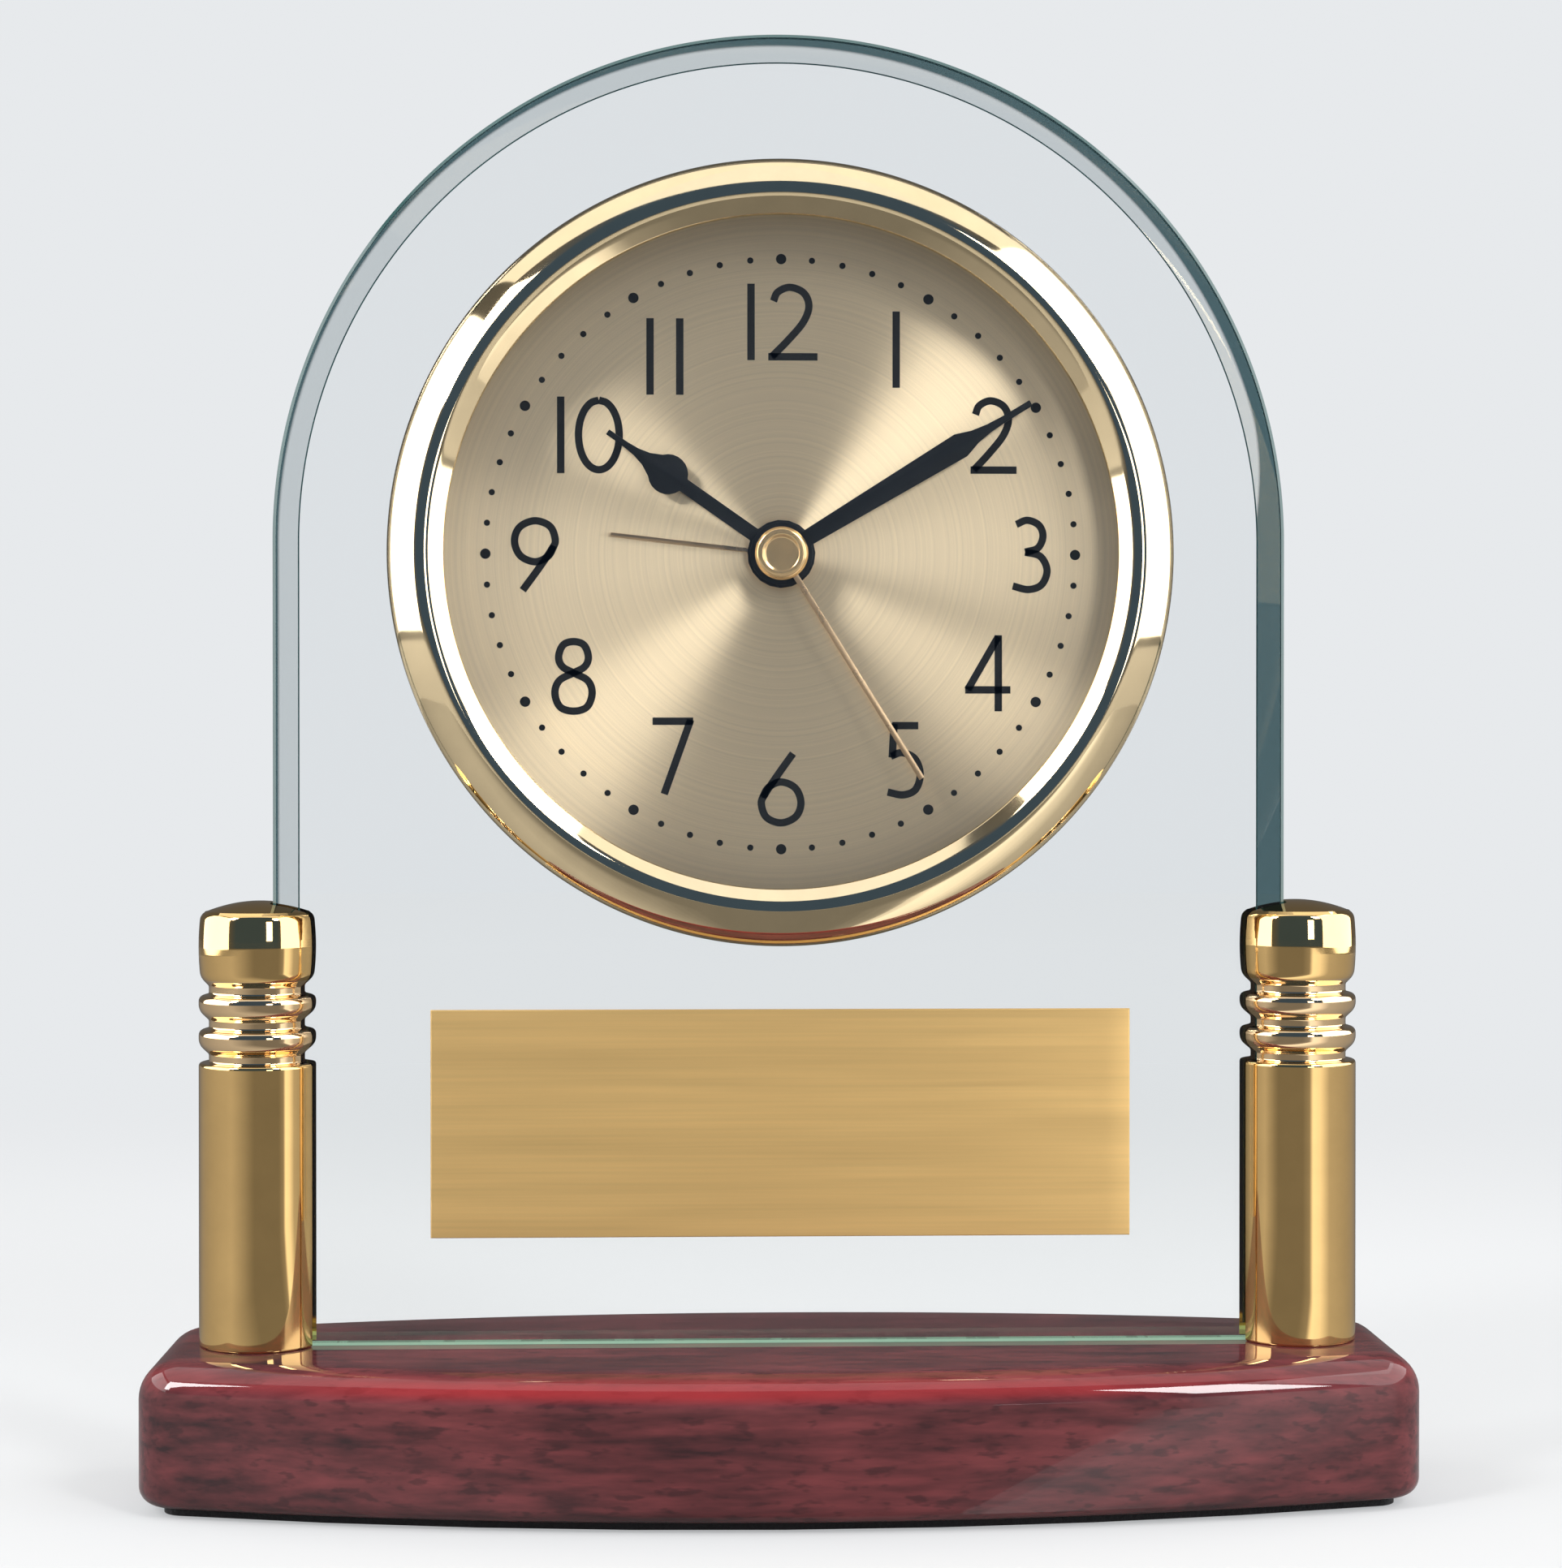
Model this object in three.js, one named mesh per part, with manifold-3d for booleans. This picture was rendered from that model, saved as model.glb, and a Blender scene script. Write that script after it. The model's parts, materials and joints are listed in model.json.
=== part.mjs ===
// Desk clock: a clear arched glass plate held by two slotted gold pillars on a bow-fronted
// lacquered base, with a round quartz alarm clock fitted through the glass and an engraving plate.
// Millimetres, +Z up, the dial faces -Y, the origin is under the middle of the base.

import * as THREE from 'three';
import { mergeVertices } from 'three/addons/utils/BufferGeometryUtils.js';
import Module from 'manifold-3d';

const wasm = await Module();
wasm.setup();

// Clearances
const FIT = 0.3; // between pieces that are dropped or turned into each other
const THREAD_FIT = 0.2; // between a screw and its tapped hole

// Base
const BASE_WIDTH = 144;
const BASE_DEPTH = 45;
const BASE_BOW = 9.4; // how far the front and the back swell out past the ends
const BASE_HEIGHT = 16;
const BASE_CORNER_RADIUS = 5.5;
const BASE_TOP_RADIUS = 4.3;
const BASE_BOTTOM_RADIUS = 2;
const FELT_THICKNESS = 1;
const FELT_INSET = 0.8; // in from the flat of the underside

// Glass plate
const GLASS_THICKNESS = 5;
const GLASS_BEVEL_WIDTH = 2.7;
const GLASS_BEVEL_DEPTH = 1.1;
const CLOCK_HEIGHT = 90.5; // the dial's centre above the base
const ARCH_RISE = 1.5; // the arch's centre above the dial's

// Pillars and their screws
const PILLAR_SET_IN = 12.2; // from the base's end to the pillar's middle
const PILLAR_RADIUS = 6.9;
const PILLAR_NECK_RADIUS = 5.8;
const PILLAR_SHAFT_HEIGHT = 32.3;
const PILLAR_COLLARS = 2;
const COLLAR_NECK_HEIGHT = 1;
const COLLAR_CONE_HEIGHT = 1;
const COLLAR_RIM_HEIGHT = 1.9;
const CAP_RIM_HEIGHT = 7.3;
const CAP_DOME_HEIGHT = 1.4;
const CAP_EDGE_RADIUS = 0.6;
const SLOT_WALL = 0.3; // metal left between the slot and the screw hole
const PILLAR_SCREW_RADIUS = 1;
const PILLAR_SCREW_GRIP = 12; // length inside the pillar
const PILLAR_SCREW_HEAD_RADIUS = 2.2;
const PILLAR_SCREW_HEAD_HEIGHT = 1.7;
const WASHER_RADIUS = 3.2;
const WASHER_THICKNESS = 0.5;
const COUNTERBORE_DEPTH = 5;

// Engraving plate on the glass
const PLATE_WIDTH = 80;
const PLATE_HEIGHT = 26;
const PLATE_THICKNESS = 0.6;
const PLATE_CENTRE_HEIGHT = 25.4; // above the base
const TAPE_THICKNESS = 0.3;
const TAPE_INSET = 2;

// Bezel, crystal and cup
const BAY_MARGIN = 1.5; // from the corners of the battery bay to the cover's edge
const CUP_WALL = 1.4;
const CUP_FLANGE_REACH = 2; // past the cup's wall, over the glass
const CUP_FLANGE_THICKNESS = 1.2;
const CUP_LEDGE_REACH = 2; // the inner shoulder that the dial and the front plate meet
const CUP_LEDGE_THICKNESS = 1.4;
const GASKET_THICKNESS = 0.5;
const BEZEL_OVERHANG = 3.8; // past the cup's wall, over the glass
const BEZEL_LIP = 3; // in from the cup's outside, over the crystal
const BEZEL_SIDE_HEIGHT = 1.6;
const BEZEL_HEIGHT = 4.9; // from the gasket to the ridge
const BEZEL_RIDGE_WIDTH = 1.2;
const BEZEL_SLOPE_WIDTH = 2; // inner slope, from the ridge to the opening
const BEZEL_SLOPE_DROP = 1.6;
const CRYSTAL_LAP = 2.6; // the crystal's edge behind the bezel
const CRYSTAL_THICKNESS = 1;
const RING_WIDTH = 3.4; // retaining ring behind the glass
const RING_THICKNESS = 3;

// Dial and hands
const DIAL_THICKNESS = 0.4;
const HAND_ROOM = 3.8; // from the crystal to the dial
const HAND_LIFT = 0.35; // from the dial to the lowest hand
const HAND_STEP = 0.4; // free height between one hand and the next
const HAND_THICKNESS = 0.25;
const SECOND_ARBOR_RADIUS = 0.5;
const PIPE_WALL = 0.5;
const HAND_BOSS_RADIUS = 3.9;
const MINUTE_BOSS_RADIUS = 3.6;
const SECOND_BOSS_RADIUS = 1.7;
const CAP_RADIUS = 3.05;
const CAP_HEIGHT = 0.7;
const HOUR_LENGTH = 24.2;
const HOUR_HALF_WIDTH = 0.8;
const HOUR_BULGE_RADIUS = 2.3;
const HOUR_BULGE_PLACE = 15.8;
const HOUR_TIP_HALF_WIDTH = 0.33;
const MINUTE_LENGTH = 33.4;
const MINUTE_HALF_WIDTH = 0.94;
const MINUTE_BULGE_HALF_WIDTH = 1.45;
const MINUTE_BULGE_PLACE = 24;
const MINUTE_TIP_HALF_WIDTH = 0.37;
const SECOND_LENGTH = 30.3;
const SECOND_HALF_WIDTH = 0.33;
const ALARM_LENGTH = 19.6;
const ALARM_HALF_WIDTH = 0.24;
const HOUR_ANGLE = 305; // degrees clockwise from twelve
const MINUTE_ANGLE = 58.8;
const SECOND_ANGLE = 148;
const ALARM_ANGLE = 276.5;

// Movement: plates and the layers of the train
const FRONT_PLATE_THICKNESS = 1.2;
const REAR_PLATE_THICKNESS = 1;
const REAR_PLATE_GAP = 0.7; // from its edge to the cover's posts
const REAR_PLATE_RISE = 1.95; // from the battery to its flat lower edge
const WHEEL_THICKNESS = 0.8;
const WHEEL_GAP = 0.4;
const ARBOR_RADIUS = 0.4;
const MINUTE_POST_RADIUS = 0.5;
const TIME_STEM_RADIUS = 1.2;
const ALARM_STEM_RADIUS = 1;
const MOTION_MODULE = 0.45; // hands' twelve-to-one work
const ALARM_MODULE = 0.5;
const CENTRE_MODULE = 0.34;
const SECOND_MODULE = 0.45;
const ROTOR_MODULE = 0.4;
const ALARM_TEETH = 30;
const SETTER_TEETH = 10;
const HOUR_TEETH = 32;
const MINUTE_PINION_TEETH = 8;
const MINUTE_WHEEL_TEETH = 30;
const CANNON_TEETH = 10;
const CENTRE_TEETH = 48;
const THIRD_TEETH = 45;
const SECOND_TEETH = 36;
const INTERMEDIATE_TEETH = 30;
const LEAVES = 6; // on the going train's small pinions
const THIRD_DIRECTION = 45; // degrees round the centre, from +X towards +Z
const MINUTE_WHEEL_DIRECTION = 180;
const INTERMEDIATE_DIRECTION = 120;
const ALARM_STEM_DIRECTION = 330;
const PLATE_POST_RADIUS = 2.2;
const PLATE_POST_INSET = 2.6; // from the rear plate's edge
const PLATE_POST_DIRECTIONS = [-18, 198, 72];
const SMALL_SCREW_RADIUS = 0.8;
const SMALL_SCREW_HEAD_RADIUS = 1.8;
const SMALL_SCREW_HEAD_HEIGHT = 1.1;
const SMALL_SCREW_GRIP = 6;

// Motor, board, buzzer and battery
const MAGNET_RADIUS = 2.7;
const MAGNET_THICKNESS = 1.5;
const STATOR_THICKNESS = 0.9;
const STATOR_MARGIN = 8.7; // from the rotor's axis to the left edge
const STATOR_LENGTH = 22;
const STATOR_FOOT = 3.8; // from the rotor's axis to the lower edge, and to the window
const STATOR_WINDOW_HEIGHT = 2.7;
const STATOR_LIMB_WIDTH = 3.5;
const STATOR_BAR_HEIGHT = 2.8; // the bar that the coil is wound on
const COIL_BUILD = 1.6; // thickness of the winding
const BOARD_WIDTH = 15;
const BOARD_HEIGHT = 20;
const BOARD_THICKNESS = 1;
const BOARD_CORNER = [14, 0];
const BUZZER_RADIUS = 9;
const BUZZER_THICKNESS = 0.7;
const BUZZER_PLACE = [19, 17];
const SOUND_HOLE_RADIUS = 0.9;
const SOUND_HOLE_RING = 4;
const SOUND_HOLES = 6;
const CELL_RADIUS = 5.25;
const CELL_LENGTH = 44.5;
const CELL_NUB_RADIUS = 1.9;
const CELL_NUB_LENGTH = 1;
const CELL_DROP = 21; // below the dial's centre
const CONTACT_THICKNESS = 0.4;
const CONTACT_WIDTH = 8;
const SPRING_LENGTH = 2;
const SPRING_RADIUS = 3;
const RIB_THICKNESS = 1.4;

// Rear cover and what is worked from behind
const COVER_THICKNESS = 1.6;
const COVER_ROOM = 1.4; // between the rear plate and the cover
const COVER_POST_RADIUS = 2.6;
const COVER_POST_DIRECTIONS = [90, 210, 330];
const KNOB_HEIGHT = 5;
const KNOB_FLUTES = 18;
const KNOB_FLUTE_DEPTH = 0.5;
const TIME_KNOB_RADIUS = 5.5;
const ALARM_KNOB_RADIUS = 4.8;
const KNOB_FLOOR = 1.2;
const SWITCH_PLACE = [-16, 24];
const SWITCH_TRAVEL = 3;
const SWITCH_STEM_LENGTH = 4;
const SWITCH_STEM_WIDTH = 2.5;
const SWITCH_THUMB_MARGIN = 1; // thumb past the stem on each side
const SWITCH_THUMB_HEIGHT = 1.8;
const SWITCH_FOOT_MARGIN = 2.4;
const SWITCH_FOOT_THICKNESS = 0.5;
const DOOR_OVERLAP = 1.1; // the door past the opening on each side
const DOOR_THICKNESS = 1.2;
const OPENING_MARGIN = 0.5; // the opening round the battery
const RAIL_WIDTH = 1.4;
const RAIL_LIP = 0.8;

// Finishes: colour, roughness, metalness
const finish = (color, roughness, metalness) =>
  new THREE.MeshStandardMaterial({ color, roughness, metalness });
const LACQUER = finish(0x5a3a3c, 0.08, 0);
const FELT = finish(0x1d1c1e, 0.95, 0);
const GOLD = finish(0xd2a95c, 0.15, 1);
const BRUSHED_GOLD = finish(0xc8b080, 0.35, 1);
const STEEL = finish(0xb4b6b8, 0.35, 1);
const BRASS = finish(0xb89a50, 0.3, 1);
const GLASS = finish(0xd8e8e6, 0.02, 0);
const RUBBER = finish(0x202022, 0.8, 0);
const BLACK_PLASTIC = finish(0x1c1d1f, 0.45, 0);
const WHITE_PLASTIC = finish(0xdedcd4, 0.5, 0);
const INK_BLACK = finish(0x2a2e32, 0.4, 0);
const COPPER = finish(0xa86038, 0.4, 1);
const BOARD_GREEN = finish(0x2f6a48, 0.5, 0);
const CELL_GREY = finish(0x6f7478, 0.4, 0.6);

// Solids from geometry
const WELD = 1e-4;
const FAR = 400; // past every side of the object, for cutting blocks

function toSolid(geometry) {
  const bare = geometry.clone();
  bare.deleteAttribute('normal');
  bare.deleteAttribute('uv');
  const welded = mergeVertices(bare, WELD);
  const corners = welded.getAttribute('position').array;
  const index = welded.getIndex().array;
  const triangles = [];
  let volume = 0;
  for (let i = 0; i < index.length; i += 3) {
    const [a, b, c] = index.slice(i, i + 3);
    if (a === b || b === c || c === a) continue;
    triangles.push([a, b, c]);
    const [p, q, r] = [a, b, c].map((n) => new THREE.Vector3().fromArray(corners, 3 * n));
    volume += p.dot(q.cross(r));
  }
  const outward = volume > 0 ? triangles : triangles.map(([a, b, c]) => [a, c, b]);
  return new wasm.Manifold(new wasm.Mesh({
    numProp: 3,
    vertProperties: Float32Array.from(corners),
    triVerts: Uint32Array.from(outward.flat()),
  }));
}

function toGeometry(solid) {
  const mesh = solid.getMesh();
  const geometry = new THREE.BufferGeometry();
  geometry.setAttribute('position', new THREE.BufferAttribute(mesh.vertProperties, 3));
  geometry.setIndex(new THREE.BufferAttribute(mesh.triVerts, 1));
  geometry.computeVertexNormals();
  return geometry;
}

const join = (first, ...others) => others.reduce((sum, solid) => sum.add(solid), first);
const cut = (first, ...others) => others.reduce((rest, solid) => rest.subtract(solid), first);

// A flat outline, drawn across and up as seen from the front, given depth from front to back
function plate(shape, front, back, curveSegments = 10) {
  const options = { depth: back - front, bevelEnabled: false, curveSegments };
  const geometry = new THREE.ExtrudeGeometry(shape, options);
  return toSolid(geometry.rotateX(Math.PI / 2).translate(0, back, 0));
}

// A profile of [radius, depth] turned about the line that runs from front to back
function turned(profile, [across, up] = [0, 0], segments = 20) {
  const points = profile.map(([radius, depth]) => new THREE.Vector2(radius, depth));
  return toSolid(new THREE.LatheGeometry(points, segments).translate(across, 0, up));
}

// A round bar from front to back
function rod(radius, front, back, place = [0, 0], segments = 10) {
  return turned([[0, front], [radius, front], [radius, back], [0, back]], place, segments);
}

// A ring with square edges from front to back
function ring(inner, outer, front, back, segments = 36) {
  const profile = [[inner, front], [outer, front], [outer, back], [inner, back], [inner, front]];
  return turned(profile, [0, 0], segments);
}

// A profile of [radius, height] turned about an upright line
function upright(profile, across, segments) {
  const points = profile.map(([radius, height]) => new THREE.Vector2(radius, height));
  const geometry = new THREE.LatheGeometry(points, segments).rotateX(Math.PI / 2);
  return toSolid(geometry.translate(across, 0, 0));
}

function block([x0, x1], [y0, y1], [z0, z1]) {
  const geometry = new THREE.BoxGeometry(x1 - x0, y1 - y0, z1 - z0);
  return toSolid(geometry.translate((x0 + x1) / 2, (y0 + y1) / 2, (z0 + z1) / 2));
}

const around = (middle, half) => [middle - half, middle + half];
const radians = (degrees) => THREE.MathUtils.degToRad(degrees);
const polar = (radius, degrees, [across, up] = [0, 0]) =>
  [across + radius * Math.cos(radians(degrees)), up + radius * Math.sin(radians(degrees))];

function circlePath(radius, [across, up] = [0, 0]) {
  return new THREE.Path().absarc(across, up, radius, 0, 2 * Math.PI, true);
}

function rectanglePath([x0, x1], [z0, z1], kind = THREE.Path) {
  const path = new kind();
  path.moveTo(x0, z0);
  path.lineTo(x1, z0);
  path.lineTo(x1, z1);
  path.lineTo(x0, z1);
  path.closePath();
  return path;
}

const part = new THREE.Group();

function add(group, name, solid, material) {
  const mesh = new THREE.Mesh(toGeometry(solid), material);
  mesh.name = name;
  group.add(mesh);
}

// Base: a bow-fronted slab with rounded edges, bored from below for the pillar screws

const baseBottom = FELT_THICKNESS;
const baseTop = baseBottom + BASE_HEIGHT;
const screwHole = PILLAR_SCREW_RADIUS + THREAD_FIT;
const pillarPlace = BASE_WIDTH / 2 - PILLAR_SET_IN;
const slotFloor = pillarPlace - screwHole - SLOT_WALL;
const glassHalf = slotFloor - FIT;
const counterboreTop = baseBottom + COUNTERBORE_DEPTH;

// The outline is two shallow arcs and two straight ends, with tangent arcs at the corners
function baseOutline(inset) {
  const halfWidth = BASE_WIDTH / 2 - inset;
  const halfDepth = BASE_DEPTH / 2 - inset;
  const corner = BASE_CORNER_RADIUS - inset;
  const bowRadius = (BASE_BOW ** 2 + (BASE_WIDTH / 2) ** 2) / (2 * BASE_BOW) - inset;
  const bowCentre = bowRadius - halfDepth;
  const x = halfWidth - corner;
  const y = bowCentre - Math.sqrt((bowRadius - corner) ** 2 - x ** 2);
  const turn = Math.atan2(bowCentre - y, x);
  const shape = new THREE.Shape();
  shape.absarc(0, bowCentre, bowRadius, turn - Math.PI, -turn, false);
  shape.absarc(x, y, corner, -turn, 0, false);
  shape.absarc(x, -y, corner, 0, turn, false);
  shape.absarc(0, -bowCentre, bowRadius, turn, Math.PI - turn, false);
  shape.absarc(-x, -y, corner, Math.PI - turn, Math.PI, false);
  shape.absarc(-x, y, corner, Math.PI, Math.PI + turn, false);
  return shape;
}

function roundedSlab(radius, segments) {
  const geometry = new THREE.ExtrudeGeometry(baseOutline(0), {
    depth: BASE_HEIGHT - 2 * radius,
    bevelThickness: radius,
    bevelSize: radius,
    bevelOffset: -radius,
    bevelSegments: segments,
    curveSegments: 4,
  });
  return toSolid(geometry.translate(0, 0, baseBottom + radius));
}

function makeBase() {
  const middle = baseBottom + BASE_HEIGHT / 2;
  const between = (low, high) => block([-FAR, FAR], [-FAR, FAR], [low, high]);
  const upper = roundedSlab(BASE_TOP_RADIUS, 4).intersect(between(middle, FAR));
  const lower = roundedSlab(BASE_BOTTOM_RADIUS, 3).intersect(between(-FAR, middle));
  const bores = [-pillarPlace, pillarPlace].map((x) => upright([
    [0, baseBottom - FIT],
    [WASHER_RADIUS + FIT, baseBottom - FIT],
    [WASHER_RADIUS + FIT, counterboreTop],
    [PILLAR_SCREW_RADIUS + FIT, counterboreTop],
    [PILLAR_SCREW_RADIUS + FIT, baseTop + FIT],
    [0, baseTop + FIT],
  ], x, 16));
  add(part, 'base', cut(join(upper, lower), ...bores), LACQUER);
  const outline = baseOutline(BASE_BOTTOM_RADIUS + FELT_INSET);
  const options = { depth: FELT_THICKNESS, bevelEnabled: false, curveSegments: 4 };
  add(part, 'base_felt', toSolid(new THREE.ExtrudeGeometry(outline, options)), FELT);
}

// Pillars: turned bars with collars under a domed cap, slotted for the glass on the inner side

function pillarProfile() {
  const profile = [[0, baseTop], [PILLAR_RADIUS, baseTop]];
  let height = baseTop + PILLAR_SHAFT_HEIGHT;
  profile.push([PILLAR_RADIUS, height]);
  for (let i = 0; i <= PILLAR_COLLARS; i += 1) {
    const rim = i < PILLAR_COLLARS ? COLLAR_RIM_HEIGHT : CAP_RIM_HEIGHT - CAP_EDGE_RADIUS;
    profile.push([PILLAR_NECK_RADIUS, height]);
    height += COLLAR_NECK_HEIGHT;
    profile.push([PILLAR_NECK_RADIUS, height]);
    height += COLLAR_CONE_HEIGHT;
    profile.push([PILLAR_RADIUS, height]);
    height += rim;
    profile.push([PILLAR_RADIUS, height]);
  }
  const top = height + CAP_EDGE_RADIUS + CAP_DOME_HEIGHT;
  const flat = PILLAR_RADIUS - CAP_EDGE_RADIUS;
  const steps = 3;
  for (let i = 0; i < steps; i += 1) {
    const radius = flat * (1 - i / steps);
    profile.push([radius, top - CAP_DOME_HEIGHT * (radius / flat) ** 2]);
  }
  profile.push([0, top]);
  return profile;
}

function makePillar(side, sign) {
  const x = sign * pillarPlace;
  const floor = sign * slotFloor;
  const inner = sign * (pillarPlace - PILLAR_RADIUS - FIT);
  const slot = block(
    [Math.min(floor, inner), Math.max(floor, inner)],
    around(0, GLASS_THICKNESS / 2 + FIT),
    [baseTop - FIT, FAR],
  );
  const hole = upright([
    [0, baseTop - FIT],
    [screwHole, baseTop - FIT],
    [screwHole, baseTop + PILLAR_SCREW_GRIP + FIT],
    [0, baseTop + PILLAR_SCREW_GRIP + FIT],
  ], x, 12);
  add(part, `${side}_pillar`, cut(upright(pillarProfile(), x, 24), slot, hole), GOLD);

  const washerBottom = counterboreTop - WASHER_THICKNESS;
  add(part, `${side}_pillar_washer`, upright([
    [PILLAR_SCREW_RADIUS + FIT, washerBottom],
    [WASHER_RADIUS, washerBottom],
    [WASHER_RADIUS, counterboreTop],
    [PILLAR_SCREW_RADIUS + FIT, counterboreTop],
    [PILLAR_SCREW_RADIUS + FIT, washerBottom],
  ], x, 16), STEEL);
  add(part, `${side}_pillar_screw`, upright([
    [0, washerBottom - PILLAR_SCREW_HEAD_HEIGHT],
    [PILLAR_SCREW_HEAD_RADIUS, washerBottom - PILLAR_SCREW_HEAD_HEIGHT],
    [PILLAR_SCREW_HEAD_RADIUS, washerBottom],
    [PILLAR_SCREW_RADIUS, washerBottom],
    [PILLAR_SCREW_RADIUS, baseTop + PILLAR_SCREW_GRIP],
    [0, baseTop + PILLAR_SCREW_GRIP],
  ], x, 12), STEEL);
}

// Glass: an arched plate with a bevel round the back of its sides and arch, bored for the clock

const glassFront = -GLASS_THICKNESS / 2;
const glassBack = GLASS_THICKNESS / 2;
const clockCentre = baseTop + CLOCK_HEIGHT;

function makeGlass() {
  const spring = clockCentre + ARCH_RISE;
  const skirt = 2 * GLASS_BEVEL_WIDTH; // cut away again, so that the foot has no bevel
  const shape = new THREE.Shape();
  shape.moveTo(-glassHalf, baseTop - skirt);
  shape.lineTo(glassHalf, baseTop - skirt);
  shape.absarc(0, spring, glassHalf, 0, Math.PI, false);
  shape.closePath();
  const geometry = new THREE.ExtrudeGeometry(shape, {
    depth: GLASS_THICKNESS,
    bevelThickness: GLASS_BEVEL_DEPTH,
    bevelSize: GLASS_BEVEL_WIDTH,
    bevelOffset: -GLASS_BEVEL_WIDTH,
    bevelSegments: 1,
    curveSegments: 24,
  });
  const blank = toSolid(geometry.rotateX(Math.PI / 2).translate(0, glassBack - GLASS_BEVEL_DEPTH, 0));
  const kept = block([-FAR, FAR], [glassFront, glassBack + FIT], [baseTop, FAR]);
  const hole = rod(glassHole, glassFront - FIT, glassBack + FIT, [0, clockCentre], 56);
  add(part, 'glass_panel', cut(blank.intersect(kept), hole), GLASS);
}

function makeNamePlate() {
  const up = baseTop + PLATE_CENTRE_HEIGHT;
  const tapeFront = glassFront - TAPE_THICKNESS;
  const tape = block(
    around(0, PLATE_WIDTH / 2 - TAPE_INSET),
    [tapeFront, glassFront],
    around(up, PLATE_HEIGHT / 2 - TAPE_INSET),
  );
  const face = block(
    around(0, PLATE_WIDTH / 2),
    [tapeFront - PLATE_THICKNESS, tapeFront],
    around(up, PLATE_HEIGHT / 2),
  );
  add(part, 'plate_tape', tape, WHITE_PLASTIC);
  add(part, 'name_plate', face, BRUSHED_GOLD);
}

// Clock: everything below is placed about the dial's centre

const clock = new THREE.Group();
clock.position.z = clockCentre;
part.add(clock);

// Depths from front to back
const gasketFront = glassFront - GASKET_THICKNESS;
const flangeFront = gasketFront - CUP_FLANGE_THICKNESS;
const crystalBack = flangeFront - FIT;
const crystalFront = crystalBack - CRYSTAL_THICKNESS;
const dialFront = crystalBack + HAND_ROOM;
const dialBack = dialFront + DIAL_THICKNESS;
const ledgeBack = dialBack + CUP_LEDGE_THICKNESS;
const frontPlateBack = ledgeBack + FRONT_PLATE_THICKNESS;
const layer = (n) => {
  const front = frontPlateBack + WHEEL_GAP + (n - 1) * (WHEEL_THICKNESS + WHEEL_GAP);
  return [front, front + WHEEL_THICKNESS];
};
const ALARM_LAYER = layer(1);
const HOUR_LAYER = layer(2);
const CANNON_LAYER = layer(3);
const CENTRE_LAYER = layer(4);
const THIRD_LAYER = layer(5);
const SECOND_LAYER = layer(6);
const ROTOR_LAYER = layer(7);
const rearPlateFront = ROTOR_LAYER[1] + WHEEL_GAP;
const rearPlateBack = rearPlateFront + REAR_PLATE_THICKNESS;
const coverFront = rearPlateBack + COVER_ROOM;
const coverBack = coverFront + COVER_THICKNESS;

// The battery bay, seen from the front, and the radii that nest round it
const cellHalf = CELL_LENGTH / 2;
const openingHalf = cellHalf + OPENING_MARGIN;
const openingHeights = around(-CELL_DROP, CELL_RADIUS + OPENING_MARGIN);
const doorHalf = openingHalf + DOOR_OVERLAP;
const doorHeights = around(-CELL_DROP, CELL_RADIUS + OPENING_MARGIN + DOOR_OVERLAP);
const railFoot = doorHalf + FIT;
const bayReach = Math.hypot(railFoot + RAIL_WIDTH, doorHeights[0]);
const insideRadius = bayReach + BAY_MARGIN; // dial, front plate and cover
const cupInner = insideRadius + FIT;
const cupRadius = cupInner + CUP_WALL;
const ledgeInner = cupInner - CUP_LEDGE_REACH;
const glassHole = cupRadius + FIT;
const bezelRadius = cupRadius + BEZEL_OVERHANG;
const bezelOpening = cupRadius - BEZEL_LIP;
const crystalRadius = bezelOpening + CRYSTAL_LAP;
const coverPostReach = cupInner - COVER_POST_RADIUS + FIT;
const rearPlateRadius = coverPostReach - COVER_POST_RADIUS - REAR_PLATE_GAP;
const pipeRadii = (n) => {
  const inner = SECOND_ARBOR_RADIUS + FIT + (n - 1) * (PIPE_WALL + FIT);
  return [inner, inner + PIPE_WALL];
};
const MINUTE_PIPE = pipeRadii(1);
const HOUR_PIPE = pipeRadii(2);
const ALARM_PIPE = pipeRadii(3);
const arborHole = ARBOR_RADIUS + FIT;

function makeCase() {
  const flangeRadius = cupRadius + CUP_FLANGE_REACH;
  const shell = turned([
    [cupInner, flangeFront],
    [flangeRadius, flangeFront],
    [flangeRadius, gasketFront],
    [cupRadius, gasketFront],
    [cupRadius, coverBack],
    [cupInner, coverBack],
    [cupInner, ledgeBack],
    [ledgeInner, ledgeBack],
    [ledgeInner, dialBack],
    [cupInner, dialBack],
    [cupInner, flangeFront],
  ], [0, 0], 40);
  const posts = coverPosts.map((place) => rod(COVER_POST_RADIUS, dialBack, coverFront, place));
  const holes = coverPosts.map((place) =>
    rod(SMALL_SCREW_RADIUS + THREAD_FIT, coverFront - SMALL_SCREW_GRIP - FIT, coverFront + FIT, place));
  const outside = ring(cupRadius - CUP_WALL / 2, FAR, dialBack - FIT, coverFront + FIT);
  const trimmed = posts.map((post) => cut(post, outside));
  add(clock, 'case_cup', cut(join(shell, ...trimmed), ...holes), BLACK_PLASTIC);

  add(clock, 'bezel_gasket', ring(glassHole, bezelRadius - FIT, gasketFront, glassFront), RUBBER);
  const retainer = ring(glassHole, glassHole + RING_WIDTH, glassBack, glassBack + RING_THICKNESS);
  add(clock, 'retaining_ring', retainer, BLACK_PLASTIC);
}

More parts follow.
